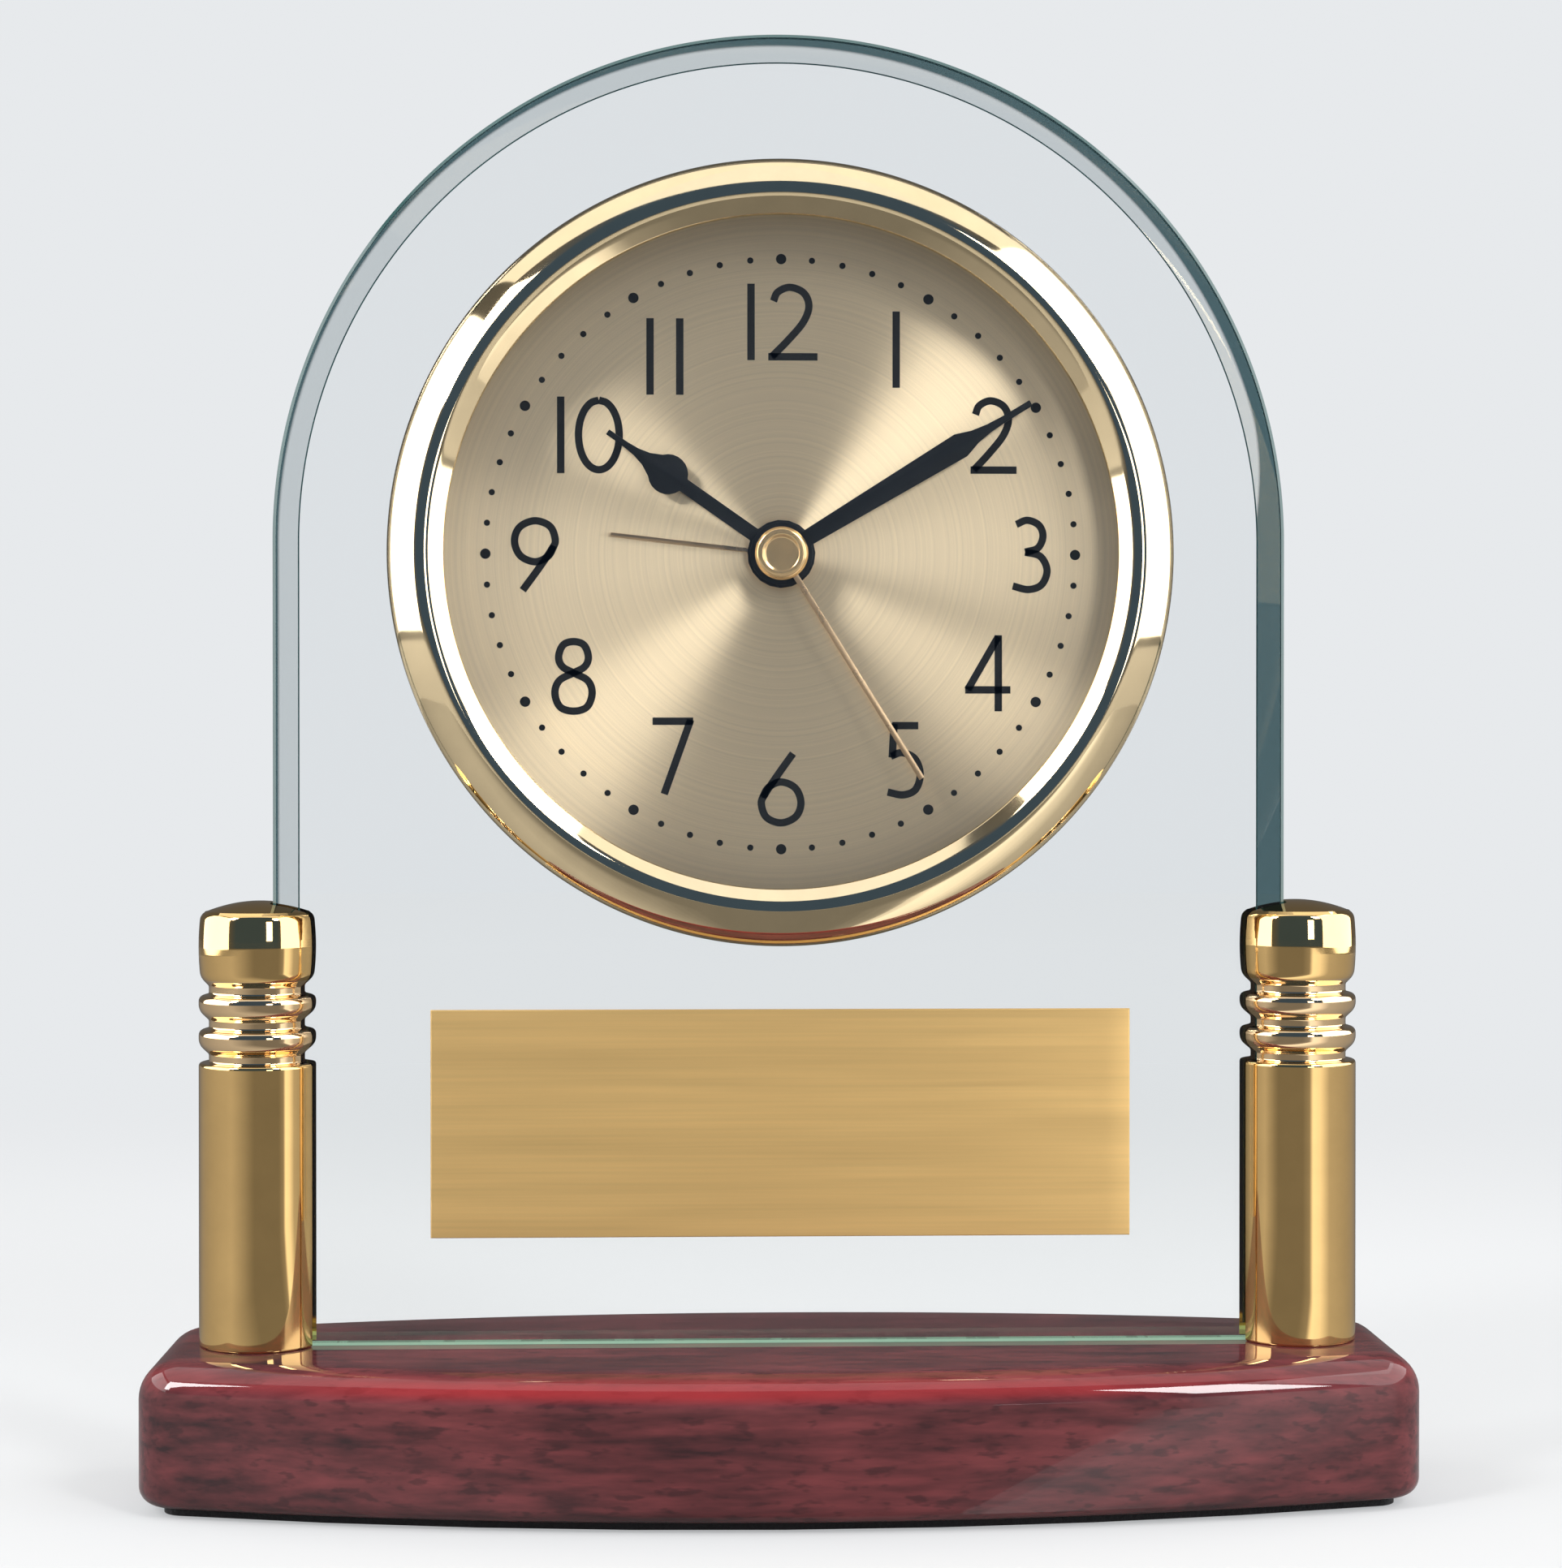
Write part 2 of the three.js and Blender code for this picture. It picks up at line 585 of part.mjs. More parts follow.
// Bezel: straight side, rounded shoulder, flat ridge and an inner slope down to the opening
function makeBezel() {
  const seat = crystalFront - FIT;
  const ridge = gasketFront - BEZEL_HEIGHT;
  const slopeTop = bezelOpening + BEZEL_SLOPE_WIDTH;
  const ridgeOuter = slopeTop + BEZEL_RIDGE_WIDTH;
  const sideFront = gasketFront - BEZEL_SIDE_HEIGHT;
  const recess = cupRadius + CUP_FLANGE_REACH + FIT;
  const shoulder = [];
  const steps = 4;
  for (let i = 0; i <= steps; i += 1) {
    const turn = (i / steps) * (Math.PI / 2);
    shoulder.push([
      ridgeOuter + (bezelRadius - ridgeOuter) * Math.cos(turn),
      sideFront - (BEZEL_HEIGHT - BEZEL_SIDE_HEIGHT) * Math.sin(turn),
    ]);
  }
  const profile = [
    [bezelRadius, gasketFront],
    ...shoulder,
    [slopeTop, ridge],
    [bezelOpening, ridge + BEZEL_SLOPE_DROP],
    [bezelOpening, seat],
    [crystalRadius + FIT, seat],
    [crystalRadius + FIT, flangeFront - FIT],
    [recess, flangeFront - FIT],
    [recess, gasketFront],
    [bezelRadius, gasketFront],
  ];
  add(clock, 'bezel', turned(profile, [0, 0], 48), GOLD);
  add(clock, 'crystal', rod(crystalRadius, crystalFront, crystalBack, [0, 0], 40), GLASS);
}

function makeDial() {
  add(clock, 'dial', ring(ALARM_PIPE[1] + FIT, insideRadius, dialFront, dialBack, 40), BRUSHED_GOLD);
}

// Hands: flat outlines drawn pointing up from the centre and then turned clockwise

const handFront = (n) =>
  dialFront - HAND_LIFT - HAND_THICKNESS - (n - 1) * (HAND_THICKNESS + HAND_STEP);

// The right-hand edge runs from the boss to the tip, and the left is its mirror image
function handShape({ boss, bore, halfWidth, length, tipHalfWidth, edge = [] }) {
  const foot = Math.sqrt(boss ** 2 - halfWidth ** 2);
  const start = Math.atan2(foot, -halfWidth);
  const end = Math.atan2(foot, halfWidth) + 2 * Math.PI;
  const right = [[halfWidth, foot], ...edge, [tipHalfWidth, length]];
  const left = right.map(([x, y]) => [-x, y]).reverse();
  const shape = new THREE.Shape();
  shape.absarc(0, 0, boss, start, end, false);
  [...right.slice(1), ...left.slice(0, -1)].forEach(([x, y]) => shape.lineTo(x, y));
  shape.closePath();
  shape.holes.push(circlePath(bore));
  return shape;
}

function hand(shape, n, clockwise) {
  const front = handFront(n);
  const options = { depth: HAND_THICKNESS, bevelEnabled: false, curveSegments: 9 };
  const geometry = new THREE.ExtrudeGeometry(shape, options).rotateZ(-radians(clockwise));
  return toSolid(geometry.rotateX(Math.PI / 2).translate(0, front + HAND_THICKNESS, 0));
}

// A round bulge on the edge, then a hollow taper towards the tip
function spadeEdge() {
  const points = [];
  const first = -Math.acos(HOUR_HALF_WIDTH / HOUR_BULGE_RADIUS);
  const last = radians(50);
  const steps = 8;
  for (let i = 0; i <= steps; i += 1) {
    const turn = first + (last - first) * (i / steps);
    points.push([
      HOUR_BULGE_RADIUS * Math.cos(turn),
      HOUR_BULGE_PLACE + HOUR_BULGE_RADIUS * Math.sin(turn),
    ]);
  }
  const [x, y] = points[points.length - 1];
  return [...points, ...hollowTaper(x, y, HOUR_TIP_HALF_WIDTH, HOUR_LENGTH)];
}

function hollowTaper(x, y, tipHalfWidth, length) {
  const points = [];
  const steps = 5;
  for (let i = 1; i < steps; i += 1) {
    const share = i / steps;
    points.push([tipHalfWidth + (x - tipHalfWidth) * (1 - share) ** 4, y + (length - y) * share]);
  }
  return points;
}

function makeHands() {
  const minuteEdge = [
    [MINUTE_BULGE_HALF_WIDTH, MINUTE_BULGE_PLACE],
    ...hollowTaper(MINUTE_BULGE_HALF_WIDTH, MINUTE_BULGE_PLACE, MINUTE_TIP_HALF_WIDTH, MINUTE_LENGTH),
  ];
  const alarm = handShape({
    boss: HAND_BOSS_RADIUS,
    bore: ALARM_PIPE[1] + FIT,
    halfWidth: ALARM_HALF_WIDTH,
    length: ALARM_LENGTH,
    tipHalfWidth: ALARM_HALF_WIDTH,
  });
  const hour = handShape({
    boss: HAND_BOSS_RADIUS,
    bore: HOUR_PIPE[1] + FIT,
    halfWidth: HOUR_HALF_WIDTH,
    length: HOUR_LENGTH,
    tipHalfWidth: HOUR_TIP_HALF_WIDTH,
    edge: spadeEdge(),
  });
  const minute = handShape({
    boss: MINUTE_BOSS_RADIUS,
    bore: MINUTE_PIPE[1] + FIT,
    halfWidth: MINUTE_HALF_WIDTH,
    length: MINUTE_LENGTH,
    tipHalfWidth: MINUTE_TIP_HALF_WIDTH,
    edge: minuteEdge,
  });
  const second = handShape({
    boss: SECOND_BOSS_RADIUS,
    bore: SECOND_ARBOR_RADIUS + FIT,
    halfWidth: SECOND_HALF_WIDTH,
    length: SECOND_LENGTH,
    tipHalfWidth: SECOND_HALF_WIDTH,
  });
  add(clock, 'alarm_hand', hand(alarm, 1, ALARM_ANGLE), BRASS);
  add(clock, 'hour_hand', hand(hour, 2, HOUR_ANGLE), INK_BLACK);
  add(clock, 'minute_hand', hand(minute, 3, MINUTE_ANGLE), INK_BLACK);
  add(clock, 'second_hand', hand(second, 4, SECOND_ANGLE), BRASS);

  const capBack = handFront(4);
  const dome = [[0, capBack], [CAP_RADIUS, capBack]];
  const steps = 4;
  for (let i = 1; i < steps; i += 1) {
    const turn = (i / steps) * (Math.PI / 2);
    dome.push([CAP_RADIUS * Math.cos(turn), capBack - CAP_HEIGHT * Math.sin(turn)]);
  }
  dome.push([0, capBack - CAP_HEIGHT]);
  add(clock, 'second_hand_cap', turned(dome, [0, 0], 20), GOLD);
}

// Wheels: straight-flanked teeth, thinner than the pitch allows so that they run free

const ADDENDUM = 0.85; // in modules
const DEDENDUM = 1.2;
const WHEEL_ROOT_SHARE = 0.54; // share of the pitch that a tooth takes at its root and its tip
const WHEEL_TIP_SHARE = 0.16;
const PINION_ROOT_SHARE = 0.4;
const PINION_TIP_SHARE = 0.14;
const PINION_MOST_TEETH = 12;

function gear(teeth, module, phase, [front, back], place = [0, 0]) {
  const pinion = teeth <= PINION_MOST_TEETH;
  const root = (teeth / 2 - DEDENDUM) * module;
  const tip = (teeth / 2 + ADDENDUM) * module;
  const pitch = 360 / teeth;
  const rootHalf = (pitch / 2) * (pinion ? PINION_ROOT_SHARE : WHEEL_ROOT_SHARE);
  const tipHalf = (pitch / 2) * (pinion ? PINION_TIP_SHARE : WHEEL_TIP_SHARE);
  const points = [];
  for (let i = 0; i < teeth; i += 1) {
    const middle = phase + i * pitch;
    points.push(polar(root, middle - rootHalf, place));
    points.push(polar(tip, middle - tipHalf, place));
    points.push(polar(tip, middle + tipHalf, place));
    points.push(polar(root, middle + rootHalf, place));
  }
  return plate(new THREE.Shape(points.map(([x, y]) => new THREE.Vector2(x, y))), front, back);
}

// The angle that puts a gap of the second wheel over a tooth of the first
function meshPhase(teeth, phase, direction, otherTeeth) {
  const past = (direction - phase) / (360 / teeth);
  const share = past - Math.floor(past);
  return direction + 180 + (share + 0.5) * (360 / otherTeeth);
}

const distance = (module, teeth, otherTeeth) => (module * (teeth + otherTeeth)) / 2;
const thirdReach = distance(CENTRE_MODULE, CENTRE_TEETH, LEAVES);
const thirdModule = (2 * thirdReach) / (THIRD_TEETH + LEAVES);
const motionReach = distance(MOTION_MODULE, CANNON_TEETH, MINUTE_WHEEL_TEETH);
const hourModule = (2 * motionReach) / (HOUR_TEETH + MINUTE_PINION_TEETH);
const setterReach = distance(MOTION_MODULE, MINUTE_WHEEL_TEETH, SETTER_TEETH);
const thirdPlace = polar(thirdReach, THIRD_DIRECTION);
const minuteWheelPlace = polar(motionReach, MINUTE_WHEEL_DIRECTION);
const timeStemPlace = polar(setterReach, MINUTE_WHEEL_DIRECTION, minuteWheelPlace);
const intermediateReach = distance(SECOND_MODULE, SECOND_TEETH, LEAVES);
const intermediatePlace = polar(intermediateReach, INTERMEDIATE_DIRECTION);
const rotorReach = distance(ROTOR_MODULE, INTERMEDIATE_TEETH, LEAVES);
const rotorPlace = polar(rotorReach, INTERMEDIATE_DIRECTION, intermediatePlace);
const alarmStemPlace = polar(distance(ALARM_MODULE, ALARM_TEETH, SETTER_TEETH), ALARM_STEM_DIRECTION);
const coverPosts = COVER_POST_DIRECTIONS.map((turn) => polar(coverPostReach, turn));
const platePosts = PLATE_POST_DIRECTIONS.map((turn) => polar(rearPlateRadius - PLATE_POST_INSET, turn));
const arborFront = ledgeBack + FIT;
const arborBack = rearPlateBack - FIT;
const knobFront = coverBack + FIT;
const knobBack = knobFront + KNOB_HEIGHT;
const stemBack = knobBack - KNOB_FLOOR - FIT;

function makeTrain() {
  const arbor = (place) => rod(ARBOR_RADIUS, arborFront, arborBack, place, 8);
  const pipe = ([inner, outer], n, back) => [
    rod(outer, handFront(n), back, [0, 0], 16),
    rod(inner, handFront(n) - FIT, back + FIT, [0, 0], 16),
  ];

  add(clock, 'second_wheel', join(
    gear(SECOND_TEETH, SECOND_MODULE, 0, SECOND_LAYER),
    gear(LEAVES, thirdModule, 0, [THIRD_LAYER[0], SECOND_LAYER[0] + FIT]),
    rod(SECOND_ARBOR_RADIUS, handFront(4) + FIT, arborBack),
  ), BRASS);

  const thirdPhase = meshPhase(LEAVES, 0, THIRD_DIRECTION, THIRD_TEETH);
  add(clock, 'third_wheel', join(
    gear(THIRD_TEETH, thirdModule, thirdPhase, THIRD_LAYER, thirdPlace),
    gear(LEAVES, CENTRE_MODULE, 0, [CENTRE_LAYER[0], THIRD_LAYER[0] + FIT], thirdPlace),
    arbor(thirdPlace),
  ), WHITE_PLASTIC);

  const [minuteTube, minuteBore] = pipe(MINUTE_PIPE, 3, CENTRE_LAYER[1]);
  const centrePhase = meshPhase(LEAVES, 0, THIRD_DIRECTION + 180, CENTRE_TEETH);
  add(clock, 'centre_wheel', cut(join(
    gear(CENTRE_TEETH, CENTRE_MODULE, centrePhase, CENTRE_LAYER),
    gear(CANNON_TEETH, MOTION_MODULE, 0, [CANNON_LAYER[0], CENTRE_LAYER[0] + FIT]),
    minuteTube,
  ), minuteBore), BRASS);

  const wheelPhase = meshPhase(CANNON_TEETH, 0, MINUTE_WHEEL_DIRECTION, MINUTE_WHEEL_TEETH);
  const postHole = rod(MINUTE_POST_RADIUS + FIT, frontPlateBack, CENTRE_LAYER[0], minuteWheelPlace);
  add(clock, 'minute_wheel', cut(join(
    gear(MINUTE_WHEEL_TEETH, MOTION_MODULE, wheelPhase, CANNON_LAYER, minuteWheelPlace),
    gear(MINUTE_PINION_TEETH, hourModule, 0, [HOUR_LAYER[0], CANNON_LAYER[0] + FIT], minuteWheelPlace),
  ), postHole), WHITE_PLASTIC);

  const [hourTube, hourBore] = pipe(HOUR_PIPE, 2, HOUR_LAYER[1]);
  const hourPhase = meshPhase(MINUTE_PINION_TEETH, 0, MINUTE_WHEEL_DIRECTION + 180, HOUR_TEETH);
  add(clock, 'hour_wheel', cut(join(
    gear(HOUR_TEETH, hourModule, hourPhase, HOUR_LAYER),
    hourTube,
  ), hourBore), WHITE_PLASTIC);

  const [alarmTube, alarmBore] = pipe(ALARM_PIPE, 1, ALARM_LAYER[1]);
  add(clock, 'alarm_wheel', cut(join(
    gear(ALARM_TEETH, ALARM_MODULE, 0, ALARM_LAYER),
    alarmTube,
  ), alarmBore), WHITE_PLASTIC);

  const pinionPhase = meshPhase(SECOND_TEETH, 0, INTERMEDIATE_DIRECTION, LEAVES);
  add(clock, 'intermediate_wheel', join(
    gear(INTERMEDIATE_TEETH, ROTOR_MODULE, 0, ROTOR_LAYER, intermediatePlace),
    gear(LEAVES, SECOND_MODULE, pinionPhase, [SECOND_LAYER[0], ROTOR_LAYER[0] + FIT], intermediatePlace),
    arbor(intermediatePlace),
  ), WHITE_PLASTIC);

  const rotorPhase = meshPhase(INTERMEDIATE_TEETH, 0, INTERMEDIATE_DIRECTION, LEAVES);
  add(clock, 'rotor', join(
    gear(LEAVES, ROTOR_MODULE, rotorPhase, ROTOR_LAYER, rotorPlace),
    rod(MAGNET_RADIUS, ...around(statorMiddle, MAGNET_THICKNESS / 2), rotorPlace, 20),
    arbor(rotorPlace),
  ), STEEL);

  const setterPhase = meshPhase(
    MINUTE_WHEEL_TEETH, wheelPhase, MINUTE_WHEEL_DIRECTION, SETTER_TEETH);
  add(clock, 'time_stem', join(
    gear(SETTER_TEETH, MOTION_MODULE, setterPhase, CANNON_LAYER, timeStemPlace),
    rod(TIME_STEM_RADIUS, CANNON_LAYER[0], stemBack, timeStemPlace),
    rod(ARBOR_RADIUS, arborFront, CANNON_LAYER[1], timeStemPlace, 8),
  ), BRASS);

  const alarmPhase = meshPhase(ALARM_TEETH, 0, ALARM_STEM_DIRECTION, SETTER_TEETH);
  add(clock, 'alarm_stem', join(
    gear(SETTER_TEETH, ALARM_MODULE, alarmPhase, ALARM_LAYER, alarmStemPlace),
    rod(ALARM_STEM_RADIUS, ALARM_LAYER[0], stemBack, alarmStemPlace),
    rod(ARBOR_RADIUS, arborFront, ALARM_LAYER[1], alarmStemPlace, 8),
  ), BRASS);
}

// Motor: a stator plate round the rotor, with the coil wound on its upper bar

const statorMiddle = (CANNON_LAYER[0] + CANNON_LAYER[1]) / 2;
const [statorFront, statorBack] = around(statorMiddle, STATOR_THICKNESS / 2);
const statorLeft = rotorPlace[0] - STATOR_MARGIN;
const statorRight = statorLeft + STATOR_LENGTH;
const statorLow = rotorPlace[1] - STATOR_FOOT;
const windowLow = rotorPlace[1] + STATOR_FOOT;
const barLow = windowLow + STATOR_WINDOW_HEIGHT;
const barHigh = barLow + STATOR_BAR_HEIGHT;
const windowSpan = [statorLeft + STATOR_LIMB_WIDTH, statorRight - STATOR_LIMB_WIDTH];

function makeMotor() {
  const plan = rectanglePath([statorLeft, statorRight], [statorLow, barHigh], THREE.Shape);
  plan.holes.push(rectanglePath(windowSpan, [windowLow, barLow]));
  plan.holes.push(circlePath(MAGNET_RADIUS + FIT, rotorPlace));
  add(clock, 'stator', plate(plan, statorFront, statorBack), STEEL);

  const length = [windowSpan[0] + FIT, windowSpan[1] - FIT];
  const winding = block(
    length,
    [statorFront - FIT - COIL_BUILD, statorBack + FIT + COIL_BUILD],
    [barLow - FIT - COIL_BUILD, barHigh + FIT + COIL_BUILD],
  );
  const core = block([-FAR, FAR], [statorFront - FIT, statorBack + FIT], [barLow - FIT, barHigh + FIT]);
  add(clock, 'coil', cut(winding, core), COPPER);
}

// Plates: the front one carries posts for the rear one, the stator's studs and the battery's ribs

const cellMiddle = frontPlateBack + FIT + CELL_RADIUS;
const contactFace = cellHalf + FIT;
const springFace = -cellHalf - FIT - SPRING_LENGTH;

function makePlates() {
  const arborPlaces = [thirdPlace, intermediatePlace, rotorPlace, timeStemPlace, alarmStemPlace];
  const pivots = (front, back) => arborPlaces.map((place) => rod(arborHole, front, back, place, 8));
  const ribHeights = around(-CELL_DROP, CONTACT_WIDTH / 2);
  const rib = (x0, x1) => block([x0, x1], [ledgeBack, cellMiddle + CELL_RADIUS / 2], ribHeights);
  const positiveRib = contactFace + CONTACT_THICKNESS + FIT;
  const negativeRib = springFace - CONTACT_THICKNESS - FIT;
  const studs = [statorLeft, statorRight].map((edge, i) => {
    const inward = i === 0 ? STATOR_LIMB_WIDTH / 2 : -STATOR_LIMB_WIDTH / 2;
    return rod(STATOR_LIMB_WIDTH / 2 - FIT, ledgeBack, statorFront, [edge + inward, windowLow]);
  });
  const disc = rod(insideRadius, ledgeBack, frontPlateBack, [0, 0], 40);
  const posts = platePosts.map((place) => rod(PLATE_POST_RADIUS, ledgeBack, rearPlateFront, place));
  const holeFront = rearPlateFront - SMALL_SCREW_GRIP - FIT;
  const screwHoles = platePosts.map((place) =>
    rod(SMALL_SCREW_RADIUS + THREAD_FIT, holeFront, rearPlateFront + FIT, place));
  const notches = coverPosts.map((place) =>
    rod(COVER_POST_RADIUS + FIT, ledgeBack - FIT, frontPlateBack + FIT, place));
  const centreHole = rod(ALARM_PIPE[1] + FIT, ledgeBack - FIT, frontPlateBack + FIT, [0, 0], 20);
  const body = join(
    cut(disc, ...notches, centreHole, ...pivots(ledgeBack - FIT, frontPlateBack + FIT)),
    ...posts,
    ...studs,
    rod(MINUTE_POST_RADIUS, ledgeBack, CENTRE_LAYER[0] - WHEEL_GAP / 2, minuteWheelPlace, 10),
    rib(positiveRib, positiveRib + RIB_THICKNESS),
    rib(negativeRib - RIB_THICKNESS, negativeRib),
  );
  add(clock, 'front_plate', cut(body, ...screwHoles), WHITE_PLASTIC);

  const flat = Math.asin((CELL_DROP - CELL_RADIUS - REAR_PLATE_RISE) / rearPlateRadius);
  const bridge = new THREE.Shape();
  bridge.absarc(0, 0, rearPlateRadius, -flat, Math.PI + flat, false);
  bridge.closePath();
  const stemHoles = [
    rod(TIME_STEM_RADIUS + FIT, rearPlateFront - FIT, rearPlateBack + FIT, timeStemPlace),
    rod(ALARM_STEM_RADIUS + FIT, rearPlateFront - FIT, rearPlateBack + FIT, alarmStemPlace),
    rod(SECOND_ARBOR_RADIUS + FIT, rearPlateFront - FIT, rearPlateBack + FIT),
  ];
  const passing = platePosts.map((place) =>
    rod(SMALL_SCREW_RADIUS + FIT, rearPlateFront - FIT, rearPlateBack + FIT, place));
  const rear = plate(bridge, rearPlateFront, rearPlateBack, 14);
  add(clock, 'rear_plate', cut(
    rear, ...pivots(rearPlateFront - FIT, rearPlateBack + FIT), ...stemHoles, ...passing), WHITE_PLASTIC);
  platePosts.forEach((place, i) => {
    addScrew(`movement_screw_${i + 1}`, rearPlateBack, rearPlateFront, place);
  });
}

// A small screw whose head lies on a plate and whose shank reaches past it into a post
function addScrew(name, seat, postBack, place) {
  add(clock, name, turned([
    [0, postBack - SMALL_SCREW_GRIP],
    [SMALL_SCREW_RADIUS, postBack - SMALL_SCREW_GRIP],
    [SMALL_SCREW_RADIUS, seat],
    [SMALL_SCREW_HEAD_RADIUS, seat],
    [SMALL_SCREW_HEAD_RADIUS, seat + SMALL_SCREW_HEAD_HEIGHT],
    [0, seat + SMALL_SCREW_HEAD_HEIGHT],
  ], place, 10), STEEL);
}

// Electrical pieces

function makeElectrics() {
  const [boardLeft, boardLow] = BOARD_CORNER;
  const boardBack = rearPlateFront - FIT;
  add(clock, 'circuit_board', block(
    [boardLeft, boardLeft + BOARD_WIDTH],
    [boardBack - BOARD_THICKNESS, boardBack],
    [boardLow, boardLow + BOARD_HEIGHT],
  ), BOARD_GREEN);
  const buzzer = rod(BUZZER_RADIUS, coverFront - BUZZER_THICKNESS, coverFront, BUZZER_PLACE, 28);
  add(clock, 'buzzer', buzzer, BRASS);

  const body = cellHalf - CELL_NUB_LENGTH;
  const profile = [
    [0, -cellHalf],
    [CELL_RADIUS, -cellHalf],
    [CELL_RADIUS, body],
    [CELL_NUB_RADIUS, body],
    [CELL_NUB_RADIUS, cellHalf],
    [0, cellHalf],
  ].map(([radius, along]) => new THREE.Vector2(radius, along));
  const cell = new THREE.LatheGeometry(profile, 20).rotateZ(-Math.PI / 2);
  add(clock, 'battery', toSolid(cell.translate(0, cellMiddle, -CELL_DROP)), CELL_GREY);

  const depth = around(cellMiddle, CONTACT_WIDTH / 2);
  const height = around(-CELL_DROP, CONTACT_WIDTH / 2);
  const leaf = block([contactFace, contactFace + CONTACT_THICKNESS], depth, height);
  add(clock, 'positive_contact', leaf, STEEL);
  const cone = [
    [0, 0],
    [SPRING_RADIUS, 0],
    [SPRING_RADIUS / 2, SPRING_LENGTH],
    [0, SPRING_LENGTH],
  ].map(([radius, along]) => new THREE.Vector2(radius, along));
  const spring = new THREE.LatheGeometry(cone, 16).rotateZ(-Math.PI / 2);
  add(clock, 'negative_contact', join(
    block([springFace - CONTACT_THICKNESS, springFace], depth, height),
    toSolid(spring.translate(springFace, cellMiddle, -CELL_DROP)),
  ), STEEL);
}

// Rear cover, with rails for the battery door, and the knobs and switch behind it

function makeCover() {
  const [switchX, switchZ] = SWITCH_PLACE;
  const through = [coverFront - FIT, coverBack + FIT];
  const hole = (radius, place) => rod(radius, ...through, place);
  const holes = [
    block(around(0, openingHalf), through, openingHeights),
    block(
      [switchX - SWITCH_STEM_LENGTH / 2 - FIT, switchX + SWITCH_STEM_LENGTH / 2 + SWITCH_TRAVEL + FIT],
      through,
      around(switchZ, SWITCH_STEM_WIDTH / 2 + FIT),
    ),
    hole(TIME_STEM_RADIUS + FIT, timeStemPlace),
    hole(ALARM_STEM_RADIUS + FIT, alarmStemPlace),
    ...coverPosts.map((place) => hole(SMALL_SCREW_RADIUS + FIT, place)),
  ];
  for (let i = 0; i < SOUND_HOLES; i += 1) {
    const place = polar(SOUND_HOLE_RING, (360 / SOUND_HOLES) * i, BUZZER_PLACE);
    holes.push(hole(SOUND_HOLE_RADIUS, place));
  }
  const disc = rod(insideRadius, coverFront, coverBack, [0, 0], 40);
  const lipFront = coverBack + DOOR_THICKNESS + FIT;
  const lipBack = lipFront + RAIL_LIP;
  const rails = [-1, 1].map((sign) => {
    const wall = [sign * railFoot, sign * (railFoot + RAIL_WIDTH)].sort((a, b) => a - b);
    const lip = [sign * (doorHalf - RAIL_LIP), sign * (railFoot + RAIL_WIDTH)].sort((a, b) => a - b);
    return join(
      block(wall, [coverBack - COVER_THICKNESS / 2, lipBack], doorHeights),
      block(lip, [lipFront, lipBack], doorHeights),
    );
  });
  const rim = rod(insideRadius, coverFront, lipBack, [0, 0], 40);
  const trimmed = rails.map((rail) => rail.intersect(rim));
  add(clock, 'rear_cover', join(cut(disc, ...holes), ...trimmed), BLACK_PLASTIC);
  add(clock, 'battery_door', block(
    around(0, doorHalf), [coverBack, coverBack + DOOR_THICKNESS], doorHeights), BLACK_PLASTIC);
  coverPosts.forEach((place, i) => {
    addScrew(`cover_screw_${i + 1}`, coverBack, coverFront, place);
  });
}

function addKnob(name, radius, stemRadius, place) {
  const points = [];
  for (let i = 0; i < 2 * KNOB_FLUTES; i += 1) {
    const reach = i % 2 === 0 ? radius : radius - KNOB_FLUTE_DEPTH;
    points.push(polar(reach, (180 / KNOB_FLUTES) * i, place));
  }
  const outline = new THREE.Shape(points.map(([x, y]) => new THREE.Vector2(x, y)));
  const grip = plate(outline, knobFront, knobBack);
  const bore = rod(stemRadius + FIT, knobFront - FIT, stemBack + FIT, place);
  add(clock, name, cut(grip, bore), BLACK_PLASTIC);
}

function makeControls() {
  addKnob('time_knob', TIME_KNOB_RADIUS, TIME_STEM_RADIUS, timeStemPlace);
  addKnob('alarm_knob', ALARM_KNOB_RADIUS, ALARM_STEM_RADIUS, alarmStemPlace);
  const [x, z] = SWITCH_PLACE;
  const size = (margin) => [
    around(x, SWITCH_STEM_LENGTH / 2 + margin),
    around(z, SWITCH_STEM_WIDTH / 2 + margin),
  ];
  const layerOf = (margin, front, back) => block(size(margin)[0], [front, back], size(margin)[1]);
  const thumbFront = coverBack + FIT;
  add(clock, 'alarm_switch', join(
    layerOf(SWITCH_FOOT_MARGIN, coverFront - FIT - SWITCH_FOOT_THICKNESS, coverFront - FIT),
    layerOf(0, coverFront - FIT - SWITCH_FOOT_THICKNESS, thumbFront + SWITCH_THUMB_HEIGHT),
    layerOf(SWITCH_THUMB_MARGIN, thumbFront, thumbFront + SWITCH_THUMB_HEIGHT),
  ), WHITE_PLASTIC);
}

makeBase();
makePillar('left', -1);
makePillar('right', 1);
makeGlass();
makeNamePlate();
makeCase();
makeBezel();
makeDial();
makeHands();
makeTrain();
makeMotor();
makePlates();
makeElectrics();
makeCover();
makeControls();

export default part;
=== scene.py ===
"""Desk clock: a quartz insert in an arched glass plate between gold pillars on a lacquered base.

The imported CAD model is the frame. Pieces whose curves matter are replaced by surfaces that are
worked out here with numpy, and the other CAD nodes get procedural finishes. Lengths are in
millimetres until a mesh is made, and in metres from then on.
"""

import functools
import json
import logging
import math
from dataclasses import dataclass, field
from enum import Enum
from typing import Any, ClassVar, Protocol

